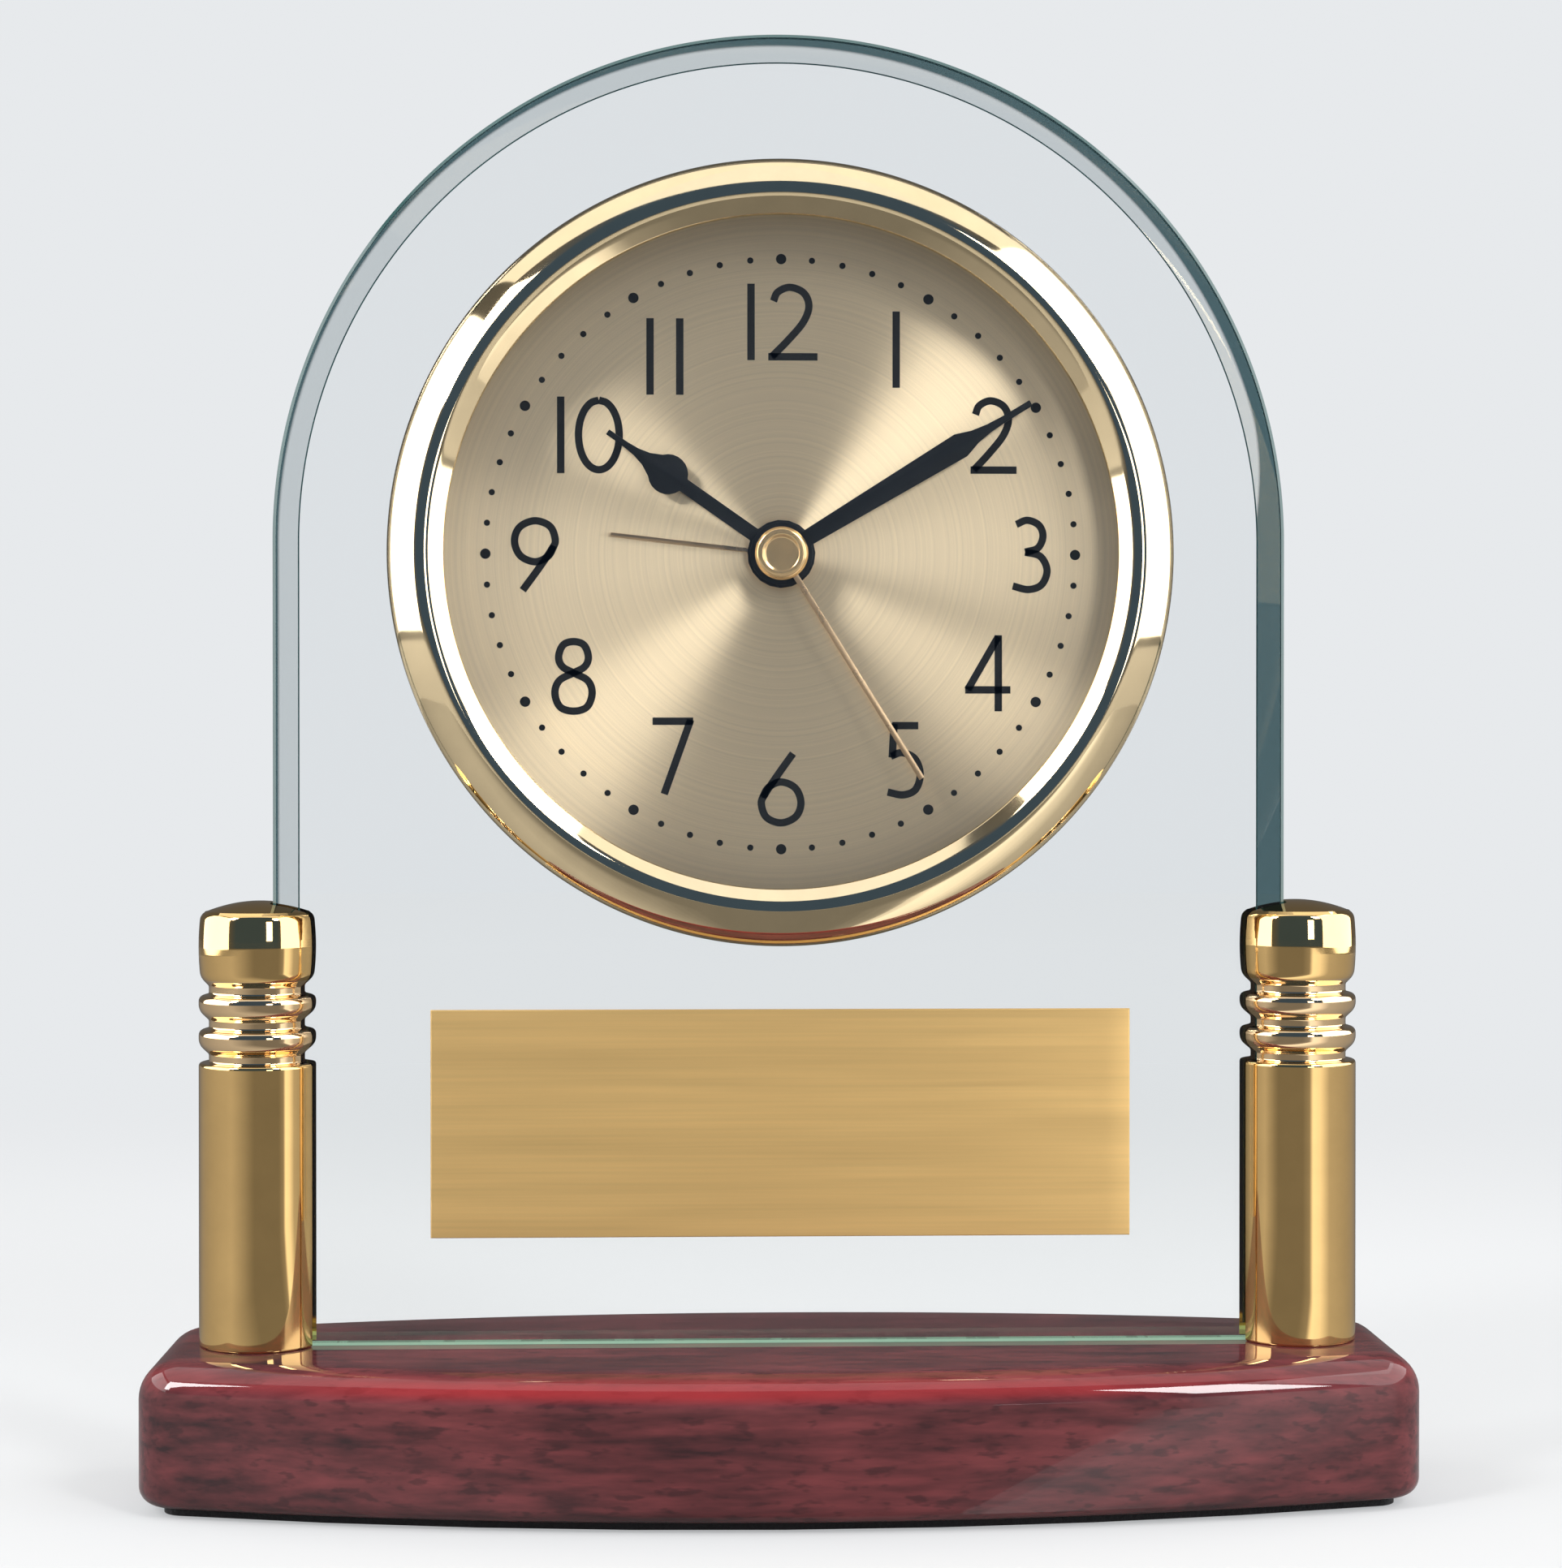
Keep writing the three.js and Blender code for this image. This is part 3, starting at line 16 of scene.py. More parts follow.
import bmesh
import bpy
import numpy as np
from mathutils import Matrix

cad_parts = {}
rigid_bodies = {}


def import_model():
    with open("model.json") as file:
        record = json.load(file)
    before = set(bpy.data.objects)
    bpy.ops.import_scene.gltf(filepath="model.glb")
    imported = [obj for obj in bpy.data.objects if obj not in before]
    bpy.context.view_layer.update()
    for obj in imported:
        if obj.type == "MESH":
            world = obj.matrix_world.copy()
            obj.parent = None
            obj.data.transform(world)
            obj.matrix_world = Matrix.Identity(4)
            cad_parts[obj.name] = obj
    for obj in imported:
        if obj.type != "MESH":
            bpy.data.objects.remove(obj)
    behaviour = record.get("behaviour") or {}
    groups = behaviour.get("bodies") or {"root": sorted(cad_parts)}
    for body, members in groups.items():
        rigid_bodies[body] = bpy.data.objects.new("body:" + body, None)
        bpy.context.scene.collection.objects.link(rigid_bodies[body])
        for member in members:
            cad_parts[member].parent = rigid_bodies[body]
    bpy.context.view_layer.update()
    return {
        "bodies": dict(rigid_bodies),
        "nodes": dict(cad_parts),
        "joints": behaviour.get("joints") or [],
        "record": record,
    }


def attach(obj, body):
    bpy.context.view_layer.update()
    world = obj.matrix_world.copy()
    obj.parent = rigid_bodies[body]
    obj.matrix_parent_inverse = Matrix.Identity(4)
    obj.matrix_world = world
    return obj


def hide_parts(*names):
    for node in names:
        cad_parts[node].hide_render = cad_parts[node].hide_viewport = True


LOG = logging.getLogger("desk_clock")
MM = 0.001
CLOCK_HEIGHT = 107.5
WELD_GAP = 1e-6
EDGE_ANGLE = math.radians(40.0)
SPLIT_ANGLE = math.radians(32.0)

Colour = tuple[float, float, float]
Pair = tuple[float, float]
Socket = bpy.types.NodeSocket
Material = bpy.types.Material


class Brush(Enum):
    """How a metal surface was worked."""

    POLISHED = "polished"
    ROUND = "round"
    STRAIGHT = "straight"


class Side(Enum):
    """A side of the clock, seen from the front, with its sign along X."""

    LEFT = -1
    RIGHT = 1


class Finish(Protocol):
    """Anything that can make a material."""

    def make(self) -> Material:
        """Returns a new material with this finish."""


class Shader:
    """The node tree of a new material."""

    def __init__(self, name: str) -> None:
        """Starts an empty material with its output node.

        Args:
            name: Name of the material.
        """
        self.material = bpy.data.materials.new(name)
        self.material.use_nodes = True
        self.tree = self.material.node_tree
        self.tree.nodes.clear()
        self.output = self.tree.nodes.new("ShaderNodeOutputMaterial")

    def node(self, kind: str, inputs: dict[Any, Any], **settings: Any) -> bpy.types.Node:
        """Adds one node.

        Args:
            kind: Node type without the leading ShaderNode.
            inputs: Values by input name or number; a socket given as a value is linked.
            settings: Properties of the node itself.

        Returns:
            The new node.
        """
        node = self.tree.nodes.new("ShaderNode" + kind)
        for key, value in settings.items():
            setattr(node, key, value)
        for key, value in inputs.items():
            if isinstance(value, Socket):
                self.tree.links.new(value, node.inputs[key])
            else:
                node.inputs[key].default_value = value
        return node

    def place(self, stretch: Colour = (1.0, 1.0, 1.0)) -> Socket:
        """Returns object coordinates, multiplied by the three factors of stretch."""
        source = self.node("TexCoord", {})
        return self.node("Mapping", {"Vector": source.outputs["Object"], "Scale": stretch}).outputs[0]

    def across(self) -> Socket:
        """Returns the coordinates of the piece's own UV map."""
        return self.node("UVMap", {}, uv_map="UVMap").outputs[0]

    def parts(self, vector: Socket) -> Any:
        """Returns the outputs X, Y and Z of a vector."""
        return self.node("SeparateXYZ", {0: vector}).outputs

    def ray(self, kind: str) -> Socket:
        """Returns one output of the Light Path, such as Is Shadow Ray."""
        return self.node("LightPath", {}).outputs[kind]

    def math(self, operation: str, *values: Any, clamp: bool = False) -> Socket:
        """Returns the result of one operation on sockets or numbers."""
        return self.node("Math", dict(enumerate(values)), operation=operation, use_clamp=clamp).outputs[0]

    def length(self, vector: Socket) -> Socket:
        """Returns the length of a vector."""
        return self.node("VectorMath", {0: vector}, operation="LENGTH").outputs["Value"]

    def noise(self, scale: float, stretch: Colour = (1.0, 1.0, 1.0), detail: float = 3.0) -> Socket:
        """Returns fractal noise from 0 to 1, with `scale` cells a metre before it is stretched."""
        values = {"Vector": self.place(stretch), "Scale": scale, "Detail": detail, "Roughness": 0.55}
        return self.node("TexNoise", values).outputs["Fac"]

    def span(self, value: Socket, ends: Pair, levels: Pair = (0.0, 1.0), smooth: bool = False) -> Socket:
        """Maps a value from one range to another and keeps it inside.

        Args:
            value: The value to map.
            ends: Where the range of the value starts and ends.
            levels: What it gives at the two ends.
            smooth: True if it eases in and out.

        Returns:
            The mapped value.
        """
        (start, end), (low, high) = ends, levels
        values = {"Value": value, "From Min": start, "From Max": end, "To Min": low, "To Max": high}
        kind = "SMOOTHSTEP" if smooth else "LINEAR"
        return self.node("MapRange", values, interpolation_type=kind).outputs["Result"]

    def between(self, factor: Socket, low: float, high: float) -> Socket:
        """Returns a value that goes from low to high over the middle half of the factor."""
        return self.span(factor, (0.25, 0.75), (low, high))

    def ramp(self, factor: Socket, stops: list[tuple[float, Colour]]) -> Socket:
        """Lets a colour run through stops.

        Args:
            factor: The value that picks the colour.
            stops: The (position, colour) of each stop, in rising order.

        Returns:
            The colour.
        """
        node = self.node("ValToRGB", {"Fac": factor})
        while len(node.color_ramp.elements) < len(stops):
            node.color_ramp.elements.new(0.5)
        for element, (position, colour) in zip(node.color_ramp.elements, stops):
            element.position = position
            element.color = (*colour, 1.0)
        return node.outputs["Color"]

    def bump(self, height: Socket, depth: float, strength: float = 1.0) -> Socket:
        """Returns a normal bent by the height, which counts as `depth` metres."""
        return self.node("Bump", {"Height": height, "Distance": depth, "Strength": strength}).outputs[0]

    def mirrored(self) -> Socket:
        """Returns 1 in any reflection and 0 where the camera looks straight or through glass."""
        return self.math("GREATER_THAN", self.ray("Glossy Depth"), 0.5)

    def close(self, last: bpy.types.Node) -> Material:
        """Closes the tree with its last shader node and returns the material."""
        self.tree.links.new(last.outputs[0], self.output.inputs["Surface"])
        return self.material

    def principled(self, inputs: dict[Any, Any]) -> Material:
        """Closes the tree with one Principled shader and returns the material."""
        return self.close(self.node("BsdfPrincipled", inputs))

    def either(self, factor: Socket, first: bpy.types.Node, second: bpy.types.Node) -> Material:
        """Closes the tree with the first shader where the factor is 0 and the second where it is 1."""
        return self.close(self.node("MixShader", {0: factor, 1: first.outputs[0], 2: second.outputs[0]}))


@dataclass(frozen=True)
class Lacquer:
    """Stained wood under a thick clear gloss coat, with its grain along X.

    A brighter red is painted along the rounded upper edge, most of all in the middle of the front: a painted
    glow of the light that falls on that edge.
    """

    name: str
    dark: Colour
    red: Colour
    # edge: colour of the painted glow along the rounded upper edge
    edge: Colour
    edge_slope: float = 0.62
    edge_band: Pair = (0.05, 0.36)
    edge_reach: Pair = (0.028, 0.066)

    def figure(self, shader: Shader, broad: Socket, fine: Socket) -> Socket:
        """Works out the grain: broad and fine figure with dark pores in it.

        Args:
            shader: The tree to build in.
            broad: Noise of the broad figure.
            fine: Noise of the fine figure.

        Returns:
            The grain from 0, dark, to 1, red.
        """
        both = shader.node("Mix", {"Factor": 0.45, "A": broad, "B": fine}).outputs[0]
        pores = shader.noise(1150.0, (0.26, 1.0, 0.9), 2.0)
        pores = shader.span(pores, (0.54, 0.68), (1.0, 0.45), smooth=True)
        return shader.math("MULTIPLY", shader.span(both, (0.33, 0.66)), pores)

    def painted_edge_glow(self, shader: Shader, broad: Socket) -> Socket:
        """Works out the share of the painted glow on the upper edge, from the slope of the surface and its
        place.

        Args:
            shader: The tree to build in.
            broad: Noise that makes it uneven.

        Returns:
            The share of the painted edge glow colour, from 0 to 1.
        """
        slope = shader.parts(shader.node("NewGeometry", {}).outputs["Normal"])["Z"]
        off = shader.math("ABSOLUTE", shader.math("SUBTRACT", slope, self.edge_slope))
        # thin is the share of the painted glow, set by the slope of the edge and by noise
        thin = shader.span(off, self.edge_band, (0.9, 0.0), smooth=True)
        thin = shader.math("MULTIPLY", thin, shader.between(broad, 0.45, 1.0))
        aside = shader.math("ABSOLUTE", shader.parts(shader.place())["X"])
        return shader.math("MULTIPLY", thin, shader.span(aside, self.edge_reach, (1.0, 0.35), smooth=True))

    def make(self) -> Material:
        """Makes a new material with this finish.

        Returns:
            The material, with its node tree closed.
        """
        shader = Shader(self.name)
        broad = shader.noise(110.0, (0.35, 1.0, 2.2), 4.0)
        fine = shader.noise(800.0, (0.14, 1.0, 1.0), 3.0)
        wood = shader.ramp(self.figure(shader, broad, fine), [(0.0, self.dark), (1.0, self.red)])
        # the painted edge glow is laid over the wood here
        values = {"Factor": self.painted_edge_glow(shader, broad), "A": wood, "B": (*self.edge, 1.0)}
        return shader.principled({
            "Base Color": shader.node("Mix", values, data_type="RGBA").outputs["Result"],
            "Roughness": shader.between(fine, 0.34, 0.46),
            "Specular IOR Level": 0.0,
            "Coat Weight": 1.0,
            "Coat Roughness": 0.02,
            "Coat IOR": 1.46,
            "Coat Normal": shader.bump(shader.noise(14.0, detail=1.0), 0.00012, 0.35),
        })


@dataclass(frozen=True)
class Metal:
    """A bare, plated or lacquered metal."""

    name: str
    colour: Colour
    roughness: float
    brush: Brush = Brush.POLISHED
    anisotropy: float = 0.0
    bare: float = 1.0

    def marks(self, shader: Shader) -> Socket:
        """Works out the tool marks: specks, rings round the middle, or lines along X.

        Args:
            shader: The tree to build in.

        Returns:
            Their height from 0 to 1.
        """
        if self.brush is Brush.POLISHED:
            return shader.noise(260.0)
        if self.brush is Brush.STRAIGHT:
            fine = shader.noise(2600.0, (0.012, 1.0, 1.0), 4.0)
            broad = shader.noise(420.0, (0.05, 1.0, 1.0), 2.0)
            return shader.node("Mix", {"Factor": 0.55, "A": fine, "B": broad}).outputs[0]
        rings = shader.node("Mapping", {"Vector": shader.across(), "Scale": (0.0, 1.0, 1.0)})
        values = {"Vector": rings.outputs[0], "Scale": 100.0, "Detail": 5.0, "Roughness": 0.8}
        return shader.node("TexNoise", values).outputs["Fac"]

    def make(self) -> Material:
        """Makes a new material with this finish.

        Returns:
            The material, with its node tree closed.
        """
        shader = Shader(self.name)
        marks = self.marks(shader)
        worn = tuple((0.93 if self.brush is Brush.POLISHED else 0.84) * part for part in self.colour)
        spread = 0.15 if self.brush is Brush.ROUND else 0.2
        inputs: dict[Any, Any] = {
            "Base Color": shader.ramp(marks, [(0.5 - spread, worn), (0.5 + spread, self.colour)]),
            "Metallic": self.bare,
            "Roughness": shader.between(marks, 0.8 * self.roughness, 1.25 * self.roughness),
        }
        if self.brush is not Brush.POLISHED:
            inputs["Normal"] = shader.bump(marks, 0.000004)
            inputs["Anisotropic"] = self.anisotropy
            inputs["Anisotropic Rotation"] = 0.25
            tangent = shader.node("Tangent", {}, direction_type="UV_MAP", uv_map="UVMap")
            inputs["Tangent"] = tangent.outputs[0]
        return shader.principled(inputs)


@dataclass(frozen=True)
class Plastic:
    """Moulded plastic, rubber, paint or ink, with a fine grain."""

    name: str
    colour: Colour
    roughness: float
    grain: float = 1800.0
    depth: float = 0.00002
    gloss: float = 0.5
    glow: float = 0.0

    def make(self) -> Material:
        """Makes a new material with this finish.

        Returns:
            The material, with its node tree closed.
        """
        shader = Shader(self.name)
        grain = shader.noise(self.grain)
        faded = tuple(0.8 * part for part in self.colour)
        return shader.principled({
            "Base Color": shader.ramp(shader.noise(70.0), [(0.3, faded), (0.7, self.colour)]),
            "Roughness": shader.between(grain, 0.85 * self.roughness, 1.15 * self.roughness),
            "Specular IOR Level": self.gloss,
            "Emission Color": (*self.colour, 1.0),
            "Emission Strength": self.glow,
            "Normal": shader.bump(grain, self.depth, 0.6),
        })


@dataclass(frozen=True)
class Felt:
    """Pressed wool felt."""

    name: str
    colour: Colour

    def make(self) -> Material:
        """Makes a new material with this finish.

        Returns:
            The material, with its node tree closed.
        """
        shader = Shader(self.name)
        fibres = shader.noise(2200.0, (1.0, 0.35, 1.0), 5.0)
        pale = tuple(1.8 * part for part in self.colour)
        return shader.principled({
            "Base Color": shader.ramp(fibres, [(0.3, self.colour), (0.75, pale)]),
            "Roughness": 0.95,
            "Sheen Weight": 0.4,
            "Normal": shader.bump(fibres, 0.0002),
        })


@dataclass(frozen=True)
class Clear:
    """Clear glass or acrylic with a faint tint."""

    passed: ClassVar[Colour] = (0.93, 0.96, 0.95)

    name: str
    tint: Colour
    ior: float

    def colour(self, shader: Shader) -> Any:
        """Returns the tint."""
        return (*self.tint, 1.0)

    def straight(self, shader: Shader) -> Socket:
        """Returns 1 for the rays that pass straight through: those of shadows."""
        return shader.ray("Is Shadow Ray")

    def make(self) -> Material:
        """Makes a new material with this finish.

        Returns:
            The material, with its node tree closed.
        """
        shader = Shader(self.name)
        body = shader.node("BsdfPrincipled", {
            "Base Color": self.colour(shader),
            "Roughness": shader.between(shader.noise(40.0, detail=2.0), 0.0, 0.012),
            "IOR": self.ior,
            "Transmission Weight": 1.0,
        })
        clear = shader.node("BsdfTransparent", {"Color": (*self.passed, 1.0)})
        return shader.either(self.straight(shader), body, clear)


@dataclass(frozen=True)
class ThinCover(Clear):
    """A clear cover, so thin that what lies behind it reflects the lamps straight through it."""

    passed: ClassVar[Colour] = (0.985, 0.985, 0.98)

    def straight(self, shader: Shader) -> Socket:
        """Returns 1 for the rays of shadows and of reflections."""
        return shader.math("MAXIMUM", shader.ray("Is Shadow Ray"), shader.ray("Is Glossy Ray"))


@dataclass(frozen=True)
class BevelGlass(Clear):
    """Bevelled glass with painted shade: a grey tint, and a dark teal line along its rim.

    The painted dark line is w wide. w grows with x, and grows more below the arch on the right, where the
    painted shade stands for the dark side of the room. The fields after the painted rim shade colour are in
    metres.
    """

    painted_rim_shade: Colour
    half: float
    spring: float
    widths: Pair = (0.0004, 0.0012)
    extra: float = 0.003
    blur: float = 0.0002

    def inset(self, shader: Shader, x: Socket, z: Socket) -> Socket:
        """Works out the distance from the plate's sides and arch: half - |(x, max(z - spring, 0))|.

        Args:
            shader: The tree to build in.
            x: Place across.
            z: Place up.

        Returns:
            The distance in metres.
        """
        above = shader.math("MAXIMUM", shader.math("SUBTRACT", z, self.spring), 0.0)
        out = shader.length(shader.node("CombineXYZ", {0: x, 1: above}).outputs[0])
        return shader.math("SUBTRACT", self.half, out)

    def colour(self, shader: Shader) -> Any:
        """Turns the tint to the painted rim shade near the rim.

        Args:
            shader: The tree to build in.

        Returns:
            The colour.
        """
        place = shader.parts(shader.place())
        x, z = place["X"], place["Z"]
        # painted shade: the dark line widens to the right, and more below the arch on the right
        wide = shader.span(x, (-0.05, 0.05), self.widths)
        right = shader.span(x, (0.03, 0.05))
        low = shader.span(z, (0.125, 0.098), (0.0, self.extra), smooth=True)
        wide = shader.math("MULTIPLY_ADD", right, low, wide)
        gap = shader.math("SUBTRACT", self.inset(shader, x, z), wide)
        clear = shader.span(gap, (-self.blur, self.blur), smooth=True)
        return shader.ramp(clear, [(0.0, self.painted_rim_shade), (1.0, self.tint)])


@dataclass(frozen=True)
class Winding:
    """Enamelled copper wire, wound in close turns across X, with painted shade between the turns."""

    name: str
    colour: Colour
    pitch: float

    def make(self) -> Material:
        """Makes a new material with this finish.

        Returns:
            The material, with its node tree closed.
        """
        shader = Shader(self.name)
        values = {"Vector": shader.place(), "Scale": 0.314 / (self.pitch * MM), "Distortion": 0.3}
        turns = shader.node("TexWave", values, bands_direction="X").outputs["Fac"]
        # dark is painted shade between the turns of wire
        dark = tuple(0.35 * part for part in self.colour)
        return shader.principled({
            "Base Color": shader.ramp(turns, [(0.0, dark), (0.5, self.colour)]),
            "Metallic": 0.8,
            "Roughness": 0.35,
            "Normal": shader.bump(turns, 0.00006),
        })


@dataclass(frozen=True)
class Board:
    """A circuit board: copper tracks under green solder mask."""

    name: str
    mask: Colour
    track: Colour

    def make(self) -> Material:
        """Makes a new material with this finish.

        Returns:
            The material, with its node tree closed.
        """
        shader = Shader(self.name)
        values = {"Vector": shader.place(), "Scale": 420.0}
        cells = shader.node("TexVoronoi", values, feature="F1", distance="CHEBYCHEV").outputs["Distance"]
        return shader.principled({
            "Base Color": shader.ramp(cells, [(0.38, self.track), (0.46, self.mask)]),
            "Roughness": 0.32,
            "Normal": shader.bump(cells, 0.00003, 0.4),
        })


@dataclass(frozen=True)
class Ground:
    """A pale floor: it keeps the object's shadow near it and is as plain as the backdrop farther off."""

    name: str
    grey: float
    lift: float
    backdrop: Colour
    fade: Pair = (0.15, 0.5)

    def make(self) -> Material:
        """Makes a new material with this finish.

        Returns:
            The material, with its node tree closed.
        """
        shader = Shader(self.name)
        fade = shader.span(shader.length(shader.place()), self.fade, smooth=True)
        seen = shader.math("MAXIMUM", shader.ray("Is Camera Ray"), shader.ray("Is Transmission Ray"))
        seen = shader.math("SUBTRACT", seen, shader.mirrored(), clamp=True)
        lift = shader.math("MULTIPLY", seen, self.lift)
        plain = shader.node("BsdfDiffuse", {"Color": (*3 * (self.grey,), 1.0)})
        raised = shader.node("Emission", {"Color": (*self.backdrop, 1.0), "Strength": lift})
        near = shader.node("AddShader", {0: plain.outputs[0], 1: raised.outputs[0]})
        glow = shader.node("Emission", {"Color": (*self.backdrop, 1.0), "Strength": 1.0})
        return shader.either(shader.math("MULTIPLY", fade, seen), near, glow)


@dataclass(frozen=True)
class Glow:
    """A card that shows only in reflections, with colours set along its rows."""

    name: str
    stops: tuple[tuple[float, Colour], ...]

    def make(self) -> Material:
        """Makes a new material with this finish.

        Returns:
            The material, with its node tree closed.
        """
        shader = Shader(self.name)
        colour = shader.ramp(shader.parts(shader.across())["X"], list(self.stops))
        light = shader.node("Emission", {"Color": colour, "Strength": 1.0})
        return shader.either(shader.mirrored(), shader.node("BsdfTransparent", {}), light)


# the third colour is the painted glow along the base's upper edge
LACQUER = Lacquer("red_brown_lacquer", (0.032, 0.015, 0.017), (0.175, 0.042, 0.046), (0.29, 0.024, 0.026))
GOLD = Metal("polished_gold", (0.93, 0.615, 0.25), 0.045)
ROSE_GOLD = Metal("cap_gold", (0.85, 0.58, 0.29), 0.2, bare=0.88)
# painted shade tint: a paler, rosier copy of the gold for the collars' shaded grooves
COLLAR_SHADE_GOLD = Metal("collar_gold_painted_shade", (0.93, 0.665, 0.38), 0.06)
PALE_GOLD = Metal("bezel_gold", (0.90, 0.72, 0.44), 0.05)
PLATE_GOLD = Metal("brushed_gold", (0.94, 0.62, 0.24), 0.42, Brush.STRAIGHT, 0.8, 0.6)
DIAL_GOLD = Metal("spun_gold", (0.87, 0.71, 0.475), 0.37, Brush.ROUND, 1.0, 0.83)
HAND_GOLD = Metal("satin_gold", (0.72, 0.51, 0.31), 0.28)
HAND_BLACK = Plastic("hand_black", (0.008, 0.010, 0.012), 0.4, 900.0, 0.000004, 0.2)
INK = Plastic("dial_ink", (0.010, 0.011, 0.012), 0.6, 2500.0, 0.000004, 0.15)
GLASS = Clear("plate_glass", (0.97, 0.985, 0.985), 1.52)
# painted shade on the bevel: a grey tint, and a dark teal line along the rim
GLASS_BEVEL = BevelGlass("glass_bevel", (0.50, 0.55, 0.56), 1.52, (0.008, 0.024, 0.028), 0.058, 0.109)
# painted shade: the glass rim and the line beside the bevel are an opaque dark teal
GLASS_RIM_SHADE = Plastic("glass_rim_painted_shade", (0.035, 0.090, 0.088), 0.12, 300.0, 0.000002)
# painted glow: an opaque pale green foot that glows, though it is no lamp, for the light along the glass foot
GLASS_FOOT_GLOW = Plastic("glass_foot_painted_glow", (0.42, 0.70, 0.52), 0.5, 1500.0, 0.00001, glow=0.5)
CRYSTAL = ThinCover("crystal_acrylic", (0.99, 0.99, 0.985), 1.47)
BLACK = Plastic("case_black", (0.022, 0.022, 0.024), 0.42)
RUBBER = Plastic("gasket_rubber", (0.030, 0.030, 0.032), 0.8, 700.0, 0.00004)
TAPE = Plastic("foam_tape", (0.42, 0.41, 0.38), 0.8, 1200.0, 0.00008)
FELT = Felt("black_felt", (0.012, 0.012, 0.014))
WHITE = Plastic("movement_white", (0.76, 0.75, 0.70), 0.5)
STEEL = Metal("screw_steel", (0.62, 0.62, 0.63), 0.22)
BRASS = Metal("train_brass", (0.80, 0.58, 0.24), 0.25)
COPPER = Winding("copper_winding", (0.72, 0.30, 0.13), 0.12)
BOARD = Board("circuit_board", (0.02, 0.17, 0.07), (0.10, 0.30, 0.12))
CELL = Metal("cell_sleeve", (0.33, 0.34, 0.37), 0.32)


@functools.cache
def material_of(finish: Finish) -> Material:
    """Returns the one material that all the pieces with this finish share."""
    return finish.make()


@dataclass(frozen=True)
class Patch:
    """A grid of points, each joined to the next one along its row and its column."""

    points: np.ndarray
    wrap_rows: bool = False
    wrap_columns: bool = False

    def corners(self) -> tuple[np.ndarray, np.ndarray]:
        """Works out the four corners of each face.

        Returns:
            Grid indices (faces, 4, 2) counted on past a wrapped edge, and vertex numbers (faces, 4).
        """
        rows, columns = self.points.shape[:2]
        steps = (np.arange(rows - (not self.wrap_rows)), np.arange(columns - (not self.wrap_columns)))
        row, column = np.meshgrid(*steps, indexing="ij")
        first = np.stack([row, column], axis=-1).reshape(-1, 1, 2)
        grid = first + np.array([[0, 0], [1, 0], [1, 1], [0, 1]])
        return grid, (grid[..., 0] % rows) * columns + grid[..., 1] % columns

    def layout(self) -> np.ndarray:
        """Works out the UV of each face corner.

        Returns:
            U along the row and V along the column, from 0 to 1, as (faces, 4, 2).
        """
        rows, columns = self.points.shape[:2]
        spans = np.array([rows - (not self.wrap_rows), columns - (not self.wrap_columns)], dtype=float)
        return (self.corners()[0] / spans)[..., ::-1]


def make_piece(name: str, patches: list[Patch], finish: Finish, sharp: float = 35.0) -> bpy.types.Object:
    """Makes an object from closed sets of patches.

    Args:
        name: Name of the object.
        patches: Grids in millimetres whose edges meet.
        finish: What the surface is.
        sharp: Edges that turn by more than this angle in degrees stay sharp.

    Returns:
        The new object, at the origin.
    """
    counts = np.cumsum([0] + [patch.points[..., 0].size for patch in patches])
    points = np.concatenate([patch.points.reshape(-1, 3) for patch in patches]) * MM
    faces = np.concatenate([patch.corners()[1] + start for patch, start in zip(patches, counts)])
    layout = np.concatenate([patch.layout().reshape(-1, 2) for patch in patches])
    mesh = bpy.data.meshes.new(name)
    mesh.from_pydata(points.tolist(), [], faces.tolist())
    mesh.uv_layers.new(name="UVMap").data.foreach_set("uv", layout.ravel())
    form = bmesh.new()
    form.from_mesh(mesh)
    bmesh.ops.remove_doubles(form, verts=form.verts, dist=1e-7)
    bmesh.ops.dissolve_degenerate(form, dist=1e-8, edges=form.edges)
    bmesh.ops.recalc_face_normals(form, faces=form.faces)
    form.to_mesh(mesh)
    form.free()
    mesh.polygons.foreach_set("use_smooth", np.ones(len(mesh.polygons), dtype=bool))
    mesh.set_sharp_from_angle(angle=math.radians(sharp))
    piece = bpy.data.objects.new(name, mesh)
    bpy.context.collection.objects.link(piece)
    mesh.materials.append(material_of(finish))
    return piece


def fit_piece(piece: bpy.types.Object, body: str, slot: str, *nodes: str) -> None:
    """Lets a piece ride on a body and hides the CAD nodes it stands for.

    Args:
        piece: The piece.
        body: Body that it rides on.
        slot: Material slot of the record that its finish belongs to; not used.
        nodes: Names of the CAD nodes that it replaces.
    """
    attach(piece, body)
    if nodes:
        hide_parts(*nodes)
    LOG.info("built %s on %s", piece.name, body)


def dress(frame: dict[str, Any], finish: Finish, *names: str, edge: float = 0.0) -> None:
    """Gives CAD nodes a finish and soft shading.

    Args:
        finish: The finish they get.
        names: Names of the nodes.
        edge: Width of a bevel on their edges, in millimetres.
    """
    for name in names:
        node = frame["nodes"][name]
        node.data.materials.clear()
        node.data.materials.append(material_of(finish))
        node.data.polygons.foreach_set("use_smooth", np.ones(len(node.data.polygons), dtype=bool))
        weld = node.modifiers.new("weld", "WELD")
        weld.merge_threshold = WELD_GAP
        if edge:
            bevel = node.modifiers.new("edges", "BEVEL")
            bevel.width, bevel.segments = edge * MM, 2
            bevel.limit_method, bevel.angle_limit = "ANGLE", EDGE_ANGLE
        split = node.modifiers.new("split", "EDGE_SPLIT")
        split.split_angle = SPLIT_ANGLE
        LOG.info("dressed %s", name)


